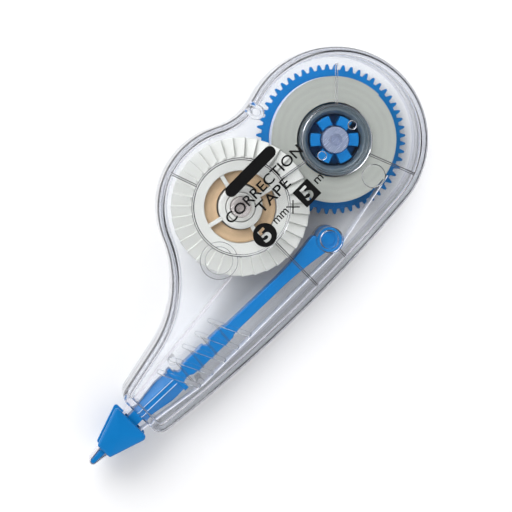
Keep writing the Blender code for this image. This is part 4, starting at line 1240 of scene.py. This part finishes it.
class ROLLER_OT_supply_reel(bpy.types.Operator):
    """Builds the drive gear, the bobbin and the coil of fresh tape"""

    bl_idname = "roller.supply_reel"
    bl_label = "Supply Reel"

    def execute(self, context):
        reel = context.scene.roller_reels
        blue = moulded_plastic("moulded_blue_polypropylene_gear", reel.blue,
                               roughness=0.32, mottle=0.04, grain=0.25, shine=0.3)
        gear = drive_gear(round_repeat_tree(), blue)
        smoke = moulded_plastic("polished_smoke_polystyrene", reel.smoke,
                                roughness=0.14, mottle=0.08, grain=0.05, sheen=0.8)
        core = bobbin(smoke)
        paper = coil_edge("coated_tape_coil", reel.tape, SUPPLY_CENTRE, TAPE_RING,
                          contrast=0.035, roughness=0.6)
        start = CORE_OUTER_RADIUS + FILM_THICKNESS
        tape = coil("tape_coil", coil_tree(), SUPPLY_CENTRE, start, PACK_RADIUS, reel.tape_turns, paper,
                    seed=3.0)
        face = thin_film("coated_tape_face", reel.tape_face, alpha=1.0, roughness=0.35)
        light_outer_turn(tape, SUPPLY_CENTRE, PACK_RADIUS - FILM_THICKNESS, face)
        stand_in(gear, "supply_gear", "supply_gear")
        stand_in(core, "supply_roll", "supply_core")
        stand_in(tape, "supply_roll", "supply_tape")
        return {"FINISHED"}


# ---------------------------------------------------------------- take-up reel


def takeup_spool(repeat, white):
    """The drum that winds up the used backing, with its pinion and its neck."""
    bore = TAKEUP_POST_RADIUS + RUN_GAP
    low = GEAR_TOP_Z - JOIN_DEPTH
    tooth_at = TAKEUP_DIRECTION + math.pi + math.pi / TAKEUP_TEETH
    pinion = sector("pinion_tooth", tooth_outline(TAKEUP_TEETH, tooth_at),
                    wheel_rings(bore, PINION_HUB_RADIUS, PINION_RIM_RADIUS))
    teeth = grow("pinion_teeth", repeat, {
        "Centre": at_height(TAKEUP_CENTRE), "Count": TAKEUP_TEETH, "Material": white,
    }, pinion)
    drum = turned("drum_wall", TAKEUP_CENTRE, rounded_profile([
        (bore, low), (DRUM_RADIUS, low), (DRUM_RADIUS, TAPE_TOP_Z), (NECK_RADIUS, TAPE_TOP_Z),
        (NECK_RADIUS, DRUM_TOP_Z), (bore, DRUM_TOP_Z),
    ], 0.12 * MM))
    return dress(joined("takeup_spool", [teeth, drum]), white, WHEEL_SMOOTH)


def pleat_outline():
    """One saw-like pleat: a long slope and a short steep step, as (radius, angle, lift)."""
    share = 2 * math.pi / FLANGE_PLEATS
    rim_wave = 0.14 * MM
    lifts = (
        (0.0, 1.0), (0.05, 0.97), (0.35, 0.62), (0.65, 0.3),
        (0.86, 0.06), (0.92, 0.0), (0.96, 0.1), (1.0, 1.0),
    )
    return [(FLANGE_RADIUS - rim_wave * (1 - lift), share * at, lift) for at, lift in lifts]


def disc_rings(lift):
    """The disc's section, from its window round its rim: its pleats rise from a sunk floor to a lift."""
    low, top = FLANGE_Z, FLANGE_TOP_Z
    window, ring = FLANGE_WINDOW_RADIUS, FLANGE_RING_RADIUS
    edge = 0.1 * MM
    rim_edge = 0.12 * MM
    floor = top - PLEAT_SINK
    rim_top = floor - 0.3 * MM
    relief = lift + PLEAT_SINK
    return [
        (window, low + edge, 0), (window + edge, low, 0), (-rim_edge, low, 0), (0, low + rim_edge, 0),
        (0, rim_top - edge, relief * 0.7), (-rim_edge, rim_top, relief * 0.75),
        (-0.5 * MM, rim_top + 0.05 * MM, relief * 0.85), (-1.8 * MM, floor - edge, relief * 0.95),
        (ring + 0.5 * MM, floor, relief), (ring + 0.28 * MM, top - edge, lift * 0.75),
        (ring + edge, top, 0), (window + edge, top, 0), (window, top - edge, 0),
    ]


def takeup_disc(repeat, white, lift):
    """The windowed disc with a pleated rim that keeps both coils flat."""
    low, top = FLANGE_Z, FLANGE_TOP_Z
    edge = 0.1 * MM
    hub_top = top + 0.2 * MM
    pleat = sector("pleat", pleat_outline(), disc_rings(lift))
    out = direction(FLANGE_SPOKE_DIRECTION)
    spoke = bar_outline(out * (DRUM_RADIUS - SPOKE_REACH), out * (FLANGE_WINDOW_RADIUS + SPOKE_REACH),
                        SPOKE_WIDTH)
    spoke = prism("spoke", spoke, low + edge, top - edge, edge, edge, 2)
    around = {"Centre": at_height(TAKEUP_CENTRE), "Material": white}
    parts = [
        grow("pleats", repeat, {**around, "Count": FLANGE_PLEATS}, pleat),
        turned("disc_hub", TAKEUP_CENTRE, rounded_profile([
            (DISC_BORE_RADIUS, low), (DRUM_RADIUS, low), (DRUM_RADIUS, top + edge),
            (DRUM_RADIUS - 0.45 * MM, hub_top), (DISC_BORE_RADIUS, hub_top),
        ], edge)),
        grow("spokes", repeat, {**around, "Count": FLANGE_SPOKES}, spoke),
    ]
    return dress(joined("takeup_disc", parts), white, math.radians(14))


class ROLLER_OT_takeup_reel(bpy.types.Operator):
    """Builds the take-up spool, its pleated disc and the used coil"""

    bl_idname = "roller.takeup_reel"
    bl_label = "Take-up Reel"

    def execute(self, context):
        reel = context.scene.roller_reels
        repeat = round_repeat_tree()
        white = moulded_plastic("moulded_white_abs", reel.white, roughness=0.36, mottle=0.03, grain=0.2)
        spool = takeup_spool(repeat, white)
        disc = takeup_disc(repeat, white, reel.pleat_lift)
        kraft = coil_edge("glassine_backing_coil", reel.backing, TAKEUP_CENTRE, BACKING_RING,
                          contrast=0.07, roughness=0.5)
        start = DRUM_RADIUS + FILM_THICKNESS
        used = coil("used_coil", coil_tree(), TAKEUP_CENTRE, start, WINDING_RADIUS, reel.used_turns,
                    kraft, seed=8.0)
        stand_in(spool, "takeup", "takeup_drum")
        stand_in(disc, "takeup", "takeup_flange")
        stand_in(used, "takeup", "takeup_winding")
        return {"FINISHED"}


# ---------------------------------------------------------------- tip


def scallop(middle, radius, steps=6):
    """A round bite in an edge that runs towards -X, from above."""
    return [middle + radius * direction(-math.pi * i / steps) for i in range(steps + 1)]


def arm_side(places, sign):
    """One edge of the arm, from places of (x, half width) in millimetres."""
    return [Vector((x * MM, arm_centre_y(x * MM) + sign * half * MM)) for x, half in places]


def arm_outline():
    """The arm from its eye to its waist, with bites that clear the pins, anticlockwise."""
    from_eye = ((1.6, 2.05), (2.3, 2.0), (4.0, 1.74), (5.5, 1.55), (8.5, 1.25), (12.0, 1.08))
    stations = [(EYE_CENTRE.x / MM - away, half) for away, half in from_eye]
    stations += [(-32.0, 1.08), (-39.0, 1.1), (-39.8, 1.2), (-40.3, 1.5), (-43.2, 1.55)]
    late = [(-46.0, 1.52), (-49.0, 1.55), (-50.9, 1.5)]
    waist = [(-50.6, 1.4), (-51.2, 1.0), (-52.2, 0.95), (-52.8, 1.2)]
    end = [(-52.9, 1.5), (-53.6, 1.5)]
    first_bite, = arm_side([(-44.6, 1.55)], 1)
    pin_bite, = arm_side([(-51.9, 1.5)], 1)
    upper = arm_side(stations, 1) + scallop(first_bite, 0.8 * MM)
    upper += arm_side(late, 1) + scallop(pin_bite, 0.75 * MM) + arm_side(end, 1)
    lower = arm_side(stations + late[:2] + waist + end[1:], -1)
    root_x, root_half = -0.6 * MM, 0.9 * MM
    root = [EYE_CENTRE + Vector((root_x, side * root_half)) for side in (-1, 1)]
    return root + upper + lower[::-1]


def blade_section(x, half, top, shoulder):
    """One section across the blade: two raised beads on its spine, and a slope down to each side."""
    middle = arm_centre_y(x)
    foot = top - 0.2 * MM
    crown = top - 0.05 * MM
    edge = 0.1 * MM
    right = [
        (half - SMALL_EDGE, ARM_Z), (half, ARM_Z + SMALL_EDGE),
        (half, shoulder - edge), (half - edge, shoulder),
        (BEAD_Y + BEAD_HALF + 0.06 * MM, foot), (BEAD_Y + BEAD_HALF, foot), (BEAD_Y + BEAD_HALF / 2, crown),
        (BEAD_Y, top), (BEAD_Y - BEAD_HALF / 2, crown), (BEAD_Y - BEAD_HALF, foot),
    ]
    return [Vector((x, middle + y, z)) for y, z in right + [(-y, z) for y, z in reversed(right)]]


def blade(name):
    """The wedge that guides the film out through the mouth."""
    stations = (
        (-53.1, 1.6, 0.35), (-53.4, 1.95, 0.45), (-54.1, 2.25, 0.55), (-55.5, 2.38, 0.75), (-57.0, 2.4, 0.9),
        (-58.9, 2.1, 0.85), (-60.8, 1.8, 0.7), (-62.4, 1.55, 0.5), (-63.2, 1.25, 0.35),
    )
    return skin(name, [
        blade_section(x * MM, half * MM, ARM_TOP_Z, ARM_TOP_Z - drop * MM) for x, half, drop in stations
    ])


def eye_cutters():
    """The eye's bore, closed above by a cap, and the ring-shaped groove in the cap."""
    bore = circle(EYE_CENTRE, EYE_PEG_RADIUS + RUN_GAP)
    inner, outer = EYE_GROOVE
    above, floor = ARM_TOP_Z + OVERLAP, ARM_TOP_Z - 0.2 * MM
    return [
        prism("eye_bore", bore, ARM_Z - OVERLAP, ARM_TOP_Z - EYE_CAP),
        turned("eye_groove", EYE_CENTRE, [(inner, above), (inner, floor), (outer, floor), (outer, above)]),
    ]


def on_bead(face):
    """Whether a face of the arm is the top of one of the blade's beads, which get the painted highlight."""
    across = abs(face.center.y - arm_centre_y(face.center.x))
    upward = face.normal.z > 0.5
    return upward and face.center.x < BLADE_X and BEAD_Y - BEAD_HALF < across < BEAD_Y + BEAD_HALF


def tip_arm(blue, bead_highlight):
    """The long springy arm with its eye, its waist, its blade and its neck."""
    body = prism("arm", arm_outline(), ARM_Z, ARM_TOP_Z, SMALL_EDGE, 0.22 * MM)
    neck = bar_outline(Vector((NECK_START_X, TIP_Y)), Vector((NECK_END_X, TIP_Y)), NECK_WIDTH)
    waist = bar_outline(Vector((WAIST_X, arm_centre_y(WAIST_X))), Vector((BLADE_X, arm_centre_y(BLADE_X))),
                        WAIST_WIDTH)
    bridge_middle = Vector((BRIDGE_X, arm_centre_y(BRIDGE_X + 0.05 * MM)))
    reach = Vector((0.0, BRIDGE_HALF_LENGTH))
    bridge = bar_outline(bridge_middle - reach, bridge_middle + reach, BRIDGE_WIDTH)
    proud = 0.05 * MM
    eye = circle(EYE_CENTRE, EYE_RADIUS)
    combine(body, [
        prism("eye", eye, ARM_Z - proud, ARM_TOP_Z + proud, SMALL_EDGE, 0.3 * MM),
        blade("blade"),
        prism("waist", waist, ARM_Z + 0.3 * MM, ARM_TOP_Z - 0.3 * MM),
        prism("bridge", bridge, ARM_Z + 0.2 * MM, ARM_TOP_Z - 0.02 * MM, 0.1 * MM, 0.12 * MM),
        prism("neck", neck, ARM_Z + 0.02 * MM, ARM_TOP_Z - 0.1 * MM, SMALL_EDGE, 0.2 * MM),
    ], "UNION")
    arm = dress(combine(body, eye_cutters(), "DIFFERENCE"), blue, TIP_SMOOTH, outward=False)
    # The bead tops get the paler blue: a painted highlight along the blade's spine.
    second_finish(arm, bead_highlight, on_bead)
    return arm


def domed_plate(name, outline, low, high, edge, dome):
    """A plate whose upper face is slightly domed and whose upper edge is rounded."""
    steps = 6
    loops = [level(inset(outline, FINE_EDGE), low), level(outline, low + FINE_EDGE)]
    for i in range(steps + 1):
        swing = math.pi / 2 * i / steps
        shape = inset(outline, edge * (1 - math.cos(swing)))
        loops.append(level(shape, high - dome - edge * (1 - math.sin(swing))))
    rim = inset(outline, edge)
    centre = sum(rim, Vector((0, 0))) / len(rim)
    for share in (0.9, 0.75, 0.6, 0.45, 0.3, 0.15):
        shrunk = [centre + (point - centre) * share for point in rim]
        loops.append(level(shrunk, high - dome * share**2))
    return skin(name, loops)


def tapered(back_x, back_half, front_x, front_half):
    """A flat shape that narrows along the writing tip's line, anticlockwise."""
    ends = ((back_x, back_half), (front_x, front_half), (front_x, -front_half), (back_x, -back_half))
    return [Vector((x, TIP_Y + half)) for x, half in ends]


def transfer_head(blue):
    """The head: a nib between two cheeks that keep the tape on it."""
    low = TAPE_Z - CHEEK_GAP
    high = TAPE_TOP_Z + CHEEK_GAP
    back_x = NECK_END_X - 0.15 * MM
    quarter = math.pi / 2
    nib_edge = 0.2 * MM
    wedge = arc(NIB_CENTRE, NIB_HALF_WIDTH, quarter, 3 * quarter, math.radians(10))
    wedge += [Vector((back_x, TIP_Y - WEDGE_HALF_WIDTH)), Vector((back_x, TIP_Y + WEDGE_HALF_WIDTH))]
    body = prism("head", wedge, TAPE_Z, TAPE_TOP_Z, nib_edge, nib_edge)
    plate = tapered(HEAD_BACK_X, CHEEK_BACK_HALF, HEAD_FRONT_X, CHEEK_FRONT_HALF)
    plate = rounded_outline(plate, CHEEK_CORNERS)
    web = tapered(back_x, 0.8 * MM, HEAD_FRONT_X + 0.8 * MM, 0.6 * MM)
    combine(body, [
        prism("web", web, low - OVERLAP, high + OVERLAP),
        prism("far_cheek", plate, low - CHEEK_THICKNESS, low, 0.3 * MM, FINE_EDGE, 4),
        domed_plate("near_cheek", plate, high, high + CHEEK_THICKNESS, CHEEK_EDGE, CHEEK_DOME),
    ], "UNION")
    return dress(body, blue, TIP_SMOOTH, outward=False)


class ROLLER_OT_tip(bpy.types.Operator):
    """Builds the springy arm and the transfer head"""

    bl_idname = "roller.tip"
    bl_label = "Arm and Head"

    def execute(self, context):
        reel = context.scene.roller_reels
        blue = moulded_plastic("moulded_blue_polypropylene_tip", reel.blue,
                               roughness=0.3, mottle=0.035, grain=0.2, shine=0.35)
        # A paler blue for the bead tops, as a painted highlight.
        bead_highlight = moulded_plastic("painted_highlight_blue_polypropylene", reel.bead_highlight,
                                 roughness=0.25, mottle=0.03, grain=0.1)
        stand_in(tip_arm(blue, bead_highlight), "tip", "tip_arm")
        stand_in(transfer_head(blue), "tip", "tip_head")
        return {"FINISHED"}


# ---------------------------------------------------------------- films


def film_path():
    """The film's middle line from the supply coil, round the nib, to the take-up coil."""
    left, right = 1, -1
    gap = FILM_GAP + FILM_THICKNESS / 2
    nib_gap = NIB_FILM_GAP + FILM_THICKNESS / 2
    stops = [
        (SUPPLY_CENTRE, PACK_RADIUS + gap, left), (EYE_CENTRE, EYE_RADIUS + gap, left),
        (LOWER_PIN, LOWER_PIN_RADIUS + gap, left), (NIB_CENTRE, NIB_HALF_WIDTH + nib_gap, left),
        (UPPER_PIN, UPPER_PIN_RADIUS + gap, left), (TAKEUP_CENTRE, WINDING_RADIUS + gap, right),
    ]
    spans = [tangent_points(a, ra, sa, b, rb, sb) for (a, ra, sa), (b, rb, sb) in zip(stops, stops[1:])]
    path = [spans[0][0]]
    for (centre, reach, _), (_, arrive), (leave, _) in zip(stops[1:], spans, spans[1:]):
        start = angle_of(arrive - centre)
        swing = (start - angle_of(leave - centre)) % (2 * math.pi)
        path += arc(centre, reach, start, start - swing, math.radians(8))
    return path + [spans[-1][1]]


def divided(path, longest):
    """The same path with its long stretches divided into shorter ones."""
    points = [path[0]]
    for a, b in zip(path, path[1:]):
        count = max(1, math.ceil((b - a).length / longest))
        points += [a + (b - a) * (i + 1) / count for i in range(count)]
    return points


def strip(name, path, material):
    """A thin upright film along a path."""
    loops = []
    for i, point in enumerate(path):
        along = (path[min(i + 1, len(path) - 1)] - path[max(i - 1, 0)]).normalized()
        across = Vector((-along.y, along.x)) * FILM_THICKNESS / 2
        left, right = point + across, point - across
        loops.append(level([left, right], TAPE_Z) + level([right, left], TAPE_TOP_Z))
    return dress(skin(name, loops), material, FILM_SMOOTH)


class ROLLER_OT_films(bpy.types.Operator):
    """Builds the fresh tape and the used backing on their way round the tip"""

    bl_idname = "roller.films"
    bl_label = "Films"

    def execute(self, context):
        reel = context.scene.roller_reels
        path = divided(film_path(), 1.5 * MM)
        turn = min(range(len(path)), key=lambda i: path[i].x)
        coated = thin_film("coated_tape_film", reel.fresh_film, alpha=0.7, roughness=0.35)
        glassine = thin_film("glassine_film", reel.used_film, alpha=0.62, roughness=0.3)
        fresh = strip("fresh_tape", path[: turn + 1], coated)
        used = strip("used_backing", path[turn:], glassine)
        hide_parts("feed_film", "nib_film")
        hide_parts("return_film")
        for piece in (fresh, used):
            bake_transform(piece)
        return {"FINISHED"}


# ---------------------------------------------------------------- printing


LETTER_WEIGHT = 0.012               # how much bolder than the font's own, as a share of its size
DIGIT_WEIGHT = 0.03
DIGIT_HEIGHT = 2.7 * MM
DIGIT_SLIMNESS = 0.68
UNIT_HEIGHT = 1.15 * MM
BAR_PLACE = Vector((-15.68, 7.42)) * MM
BAR_LENGTH, BAR_WIDTH = 12.6 * MM, 2.3 * MM
DISC_PLACE = Vector((-22.25, -2.95)) * MM
DISC_RADIUS = 2.28 * MM
SQUARE_PLACE = Vector((-11.05, -3.03)) * MM
SQUARE_HALF = 1.95 * MM
TIMES_PLACE = Vector((-14.78, -3.0)) * MM
TIMES_REACH, TIMES_WIDTH = 1.3 * MM, 0.24 * MM


def lettering(name, text, middle, height, length, weight=LETTER_WEIGHT):
    """Upright letters as a thin solid, fitted to a height and a length, reading along +X."""
    curve = bpy.data.curves.new(name, "FONT")
    curve.body = text
    curve.resolution_u = 8
    curve.extrude = INK_HEIGHT / 2
    curve.offset = weight
    source = new_object(name + "_source", curve)
    mesh = bpy.data.meshes.new_from_object(source.evaluated_get(bpy.context.evaluated_depsgraph_get()))
    bpy.data.objects.remove(source)
    xs = [v.co.x for v in mesh.vertices]
    ys = [v.co.y for v in mesh.vertices]
    stretch = Matrix.Diagonal((length / (max(xs) - min(xs)), height / (max(ys) - min(ys)), 1, 1))
    centred = Matrix.Translation((-(max(xs) + min(xs)) / 2, -(max(ys) + min(ys)) / 2, 0))
    mesh.transform(Matrix.Translation((middle.x, middle.y, PRINT_Z + INK_HEIGHT / 2)) @ stretch @ centred)
    bm = bmesh.new()
    bm.from_mesh(mesh)
    bmesh.ops.remove_doubles(bm, verts=bm.verts, dist=MERGE_DISTANCE)
    bmesh.ops.recalc_face_normals(bm, faces=bm.faces)
    bm.to_mesh(mesh)
    bm.free()
    mesh.materials.clear()
    return new_object(name, mesh)


def ink_plate(name, outline):
    """A solid patch of ink."""
    return prism(name, outline, PRINT_Z, FACE_Z)


def knocked_out(name, outline, middle):
    """A solid patch of ink with the digit 5 left clear in it."""
    digit = lettering(name + "_digit", "5", middle, DIGIT_HEIGHT, DIGIT_HEIGHT * DIGIT_SLIMNESS, DIGIT_WEIGHT)
    for vertex in digit.data.vertices:
        vertex.co.z = PRINT_Z + (vertex.co.z - PRINT_Z) * 3 - INK_HEIGHT
    return combine(ink_plate(name, outline), [digit], "DIFFERENCE")


def times_bar(name, angle):
    """One stroke of the times sign."""
    reach = direction(angle) * TIMES_REACH
    return ink_plate(name, bar_outline(TIMES_PLACE - reach, TIMES_PLACE + reach, TIMES_WIDTH))


def printed_marks(word_height):
    """All the front shell's printing: a plain bar, the two words, and the tape's width and length."""
    made = [
        ink_plate("bar", capsule_outline(BAR_PLACE, BAR_LENGTH, BAR_WIDTH, 0.0)),
        knocked_out("width_disc", circle(DISC_PLACE, DISC_RADIUS), DISC_PLACE),
        knocked_out("length_square", box_outline(SQUARE_PLACE, SQUARE_HALF, SQUARE_HALF), SQUARE_PLACE),
        times_bar("times_one", math.radians(45)),
        times_bar("times_two", math.radians(-45)),
    ]
    for name, text, place, height, length in (
        ("word_one", "CORRECTION", (-15.62, 3.95), word_height, 19.4),
        ("word_two", "TAPE", (-15.9, 1.22), word_height, 7.9),
        ("width_unit", "mm", (-17.58, -2.6), UNIT_HEIGHT, 3.3),
        ("length_unit", "m", (-7.6, -2.75), UNIT_HEIGHT, 1.75),
    ):
        made.append(lettering(name, text, Vector(place) * MM, height, length * MM))
    return made


class ROLLER_OT_printing(bpy.types.Operator):
    """Builds the printed marks on the front shell"""

    bl_idname = "roller.printing"
    bl_label = "Printing"

    def execute(self, context):
        settings = context.scene.roller_print
        ink = screen_ink("screen_printed_ink", settings.ink)
        marks = dress(joined("printed_marks", printed_marks(settings.word_height)), ink, outward=False)
        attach(marks, "case")
        return {"FINISHED"}


# ---------------------------------------------------------------- stage


LENS_LENGTH = 176.5                 # the lens and the sensor are in millimetres
SENSOR_WIDTH = 36.0
CAMERA_DISTANCE = 480 * MM
CAMERA_TARGET = Vector((-26.15, -5.21, 6.8)) * MM
CAMERA_BACK = Vector((-0.015, 0.1, 1.0)).normalized()
CAMERA_RIGHT = Vector((0.7009, -0.7133, 0.0))
LIGHT_TARGET = Vector((-26.0, -5.0, 6.0)) * MM
LIGHT_RIGHT = Vector((1.0, 0.0, 0.0))
KEY_PLACE, KEY_SIZE = Vector((0.02, 0.42, 0.42)), (0.6, 0.4)
FILL_PLACE, FILL_SIZE = Vector((-0.1, -0.5, 0.4)), (0.5, 0.3)
FLOOR_HALF = 1.2
FLOOR_Z = -0.3 * MM
FLOOR_THICKNESS = 5 * MM
SKY_STOPS = (
    (0.0, (0.28, 0.285, 0.31)), (0.45, (1.0, 1.0, 1.0)), (0.88, (1.0, 1.0, 1.0)), (0.96, (0.1, 0.1, 0.11)),
)


def look_matrix(place, back, right):
    """A camera's or light's place and turn, from where its back and its right side point."""
    z = back.normalized()
    x = (right - right.dot(z) * z).normalized()
    y = z.cross(x)
    return Matrix.Translation(place) @ Matrix((x, y, z)).transposed().to_4x4()


def add_camera(context):
    """A long lens over the front face, tilted a little towards the take-up reel's side."""
    lens = bpy.data.cameras.new("product_camera")
    lens.lens = LENS_LENGTH
    lens.sensor_width = SENSOR_WIDTH
    lens.clip_start = 10 * MM
    camera = new_object("product_camera", lens)
    place = CAMERA_TARGET + CAMERA_BACK * CAMERA_DISTANCE
    camera.matrix_world = look_matrix(place, CAMERA_BACK, CAMERA_RIGHT)
    context.scene.camera = camera


def add_panel_light(name, place, size, power):
    """A soft rectangular light that faces the roller."""
    lamp = bpy.data.lights.new(name, "AREA")
    lamp.shape = "RECTANGLE"
    lamp.size, lamp.size_y = size
    lamp.energy = power
    made = new_object(name, lamp)
    made.matrix_world = look_matrix(place, place - LIGHT_TARGET, LIGHT_RIGHT)


def add_world(context, strength):
    """Light from all round. It is darker near the floor, so that clear edges draw themselves, and dark
    straight above, so that flat clear faces don't veil what is behind them."""
    world = bpy.data.worlds.new("soft_room")
    world.use_nodes = True
    tree = world.node_tree
    coords = add_node(tree, "ShaderNodeTexCoord")
    split = add_node(tree, "ShaderNodeSeparateXYZ", {"Vector": coords.outputs["Generated"]})
    ramp = add_node(tree, "ShaderNodeValToRGB", {"Fac": split.outputs["Z"]})
    while len(ramp.color_ramp.elements) < len(SKY_STOPS):
        ramp.color_ramp.elements.new(0.5)
    for element, (position, colour) in zip(ramp.color_ramp.elements, SKY_STOPS):
        element.position = position
        element.color = (*colour, 1.0)
    background = tree.nodes["Background"]
    tree.links.new(ramp.outputs[0], background.inputs["Color"])
    background.inputs["Strength"].default_value = strength
    context.scene.world = world


class ROLLER_OT_stage(bpy.types.Operator):
    """Adds the floor, the camera and the lights"""

    bl_idname = "roller.stage"
    bl_label = "Stage"

    def execute(self, context):
        stage = context.scene.roller_stage
        outline = box_outline(ORIGIN, FLOOR_HALF, FLOOR_HALF)
        floor = prism("studio_floor", outline, FLOOR_Z - FLOOR_THICKNESS, FLOOR_Z)
        floor.data.materials.append(seamless_paper("seamless_paper", stage.floor))
        add_camera(context)
        add_panel_light("key_softbox", KEY_PLACE, KEY_SIZE, stage.key_power)
        add_panel_light("fill_softbox", FILL_PLACE, FILL_SIZE, stage.fill_power)
        add_world(context, stage.sky)
        context.scene.view_settings.view_transform = "Standard"
        return {"FINISHED"}


# ---------------------------------------------------------------- add-on


OPERATORS = (
    ROLLER_OT_back_shell,
    ROLLER_OT_front_shell,
    ROLLER_OT_supply_reel,
    ROLLER_OT_takeup_reel,
    ROLLER_OT_tip,
    ROLLER_OT_films,
    ROLLER_OT_printing,
    ROLLER_OT_stage,
)

SETTINGS = {
    "roller_case": RollerCaseSettings,
    "roller_reels": RollerReelSettings,
    "roller_print": RollerPrintSettings,
    "roller_stage": RollerStageSettings,
}


class ROLLER_PT_parts(bpy.types.Panel):
    """Lists the roller's parts and their settings"""

    bl_idname = "ROLLER_PT_parts"
    bl_label = "Tape Roller"
    bl_space_type = "VIEW_3D"
    bl_region_type = "UI"
    bl_category = "Tape Roller"

    def draw(self, context):
        for name, group in SETTINGS.items():
            box = self.layout.box()
            for prop in group.__annotations__:
                box.prop(getattr(context.scene, name), prop)
        for operator in OPERATORS:
            self.layout.operator(operator.bl_idname)


def register():
    for name, group in SETTINGS.items():
        bpy.utils.register_class(group)
        setattr(bpy.types.Scene, name, PointerProperty(type=group))
    for cls in (*OPERATORS, ROLLER_PT_parts):
        bpy.utils.register_class(cls)


def unregister():
    for cls in (ROLLER_PT_parts, *reversed(OPERATORS)):
        bpy.utils.unregister_class(cls)
    for name, group in SETTINGS.items():
        delattr(bpy.types.Scene, name)
        bpy.utils.unregister_class(group)


def main():
    register()
    for operator in OPERATORS:
        group, action = operator.bl_idname.split(".")
        getattr(getattr(bpy.ops, group), action)()


if __name__ == "__main__":
    main()
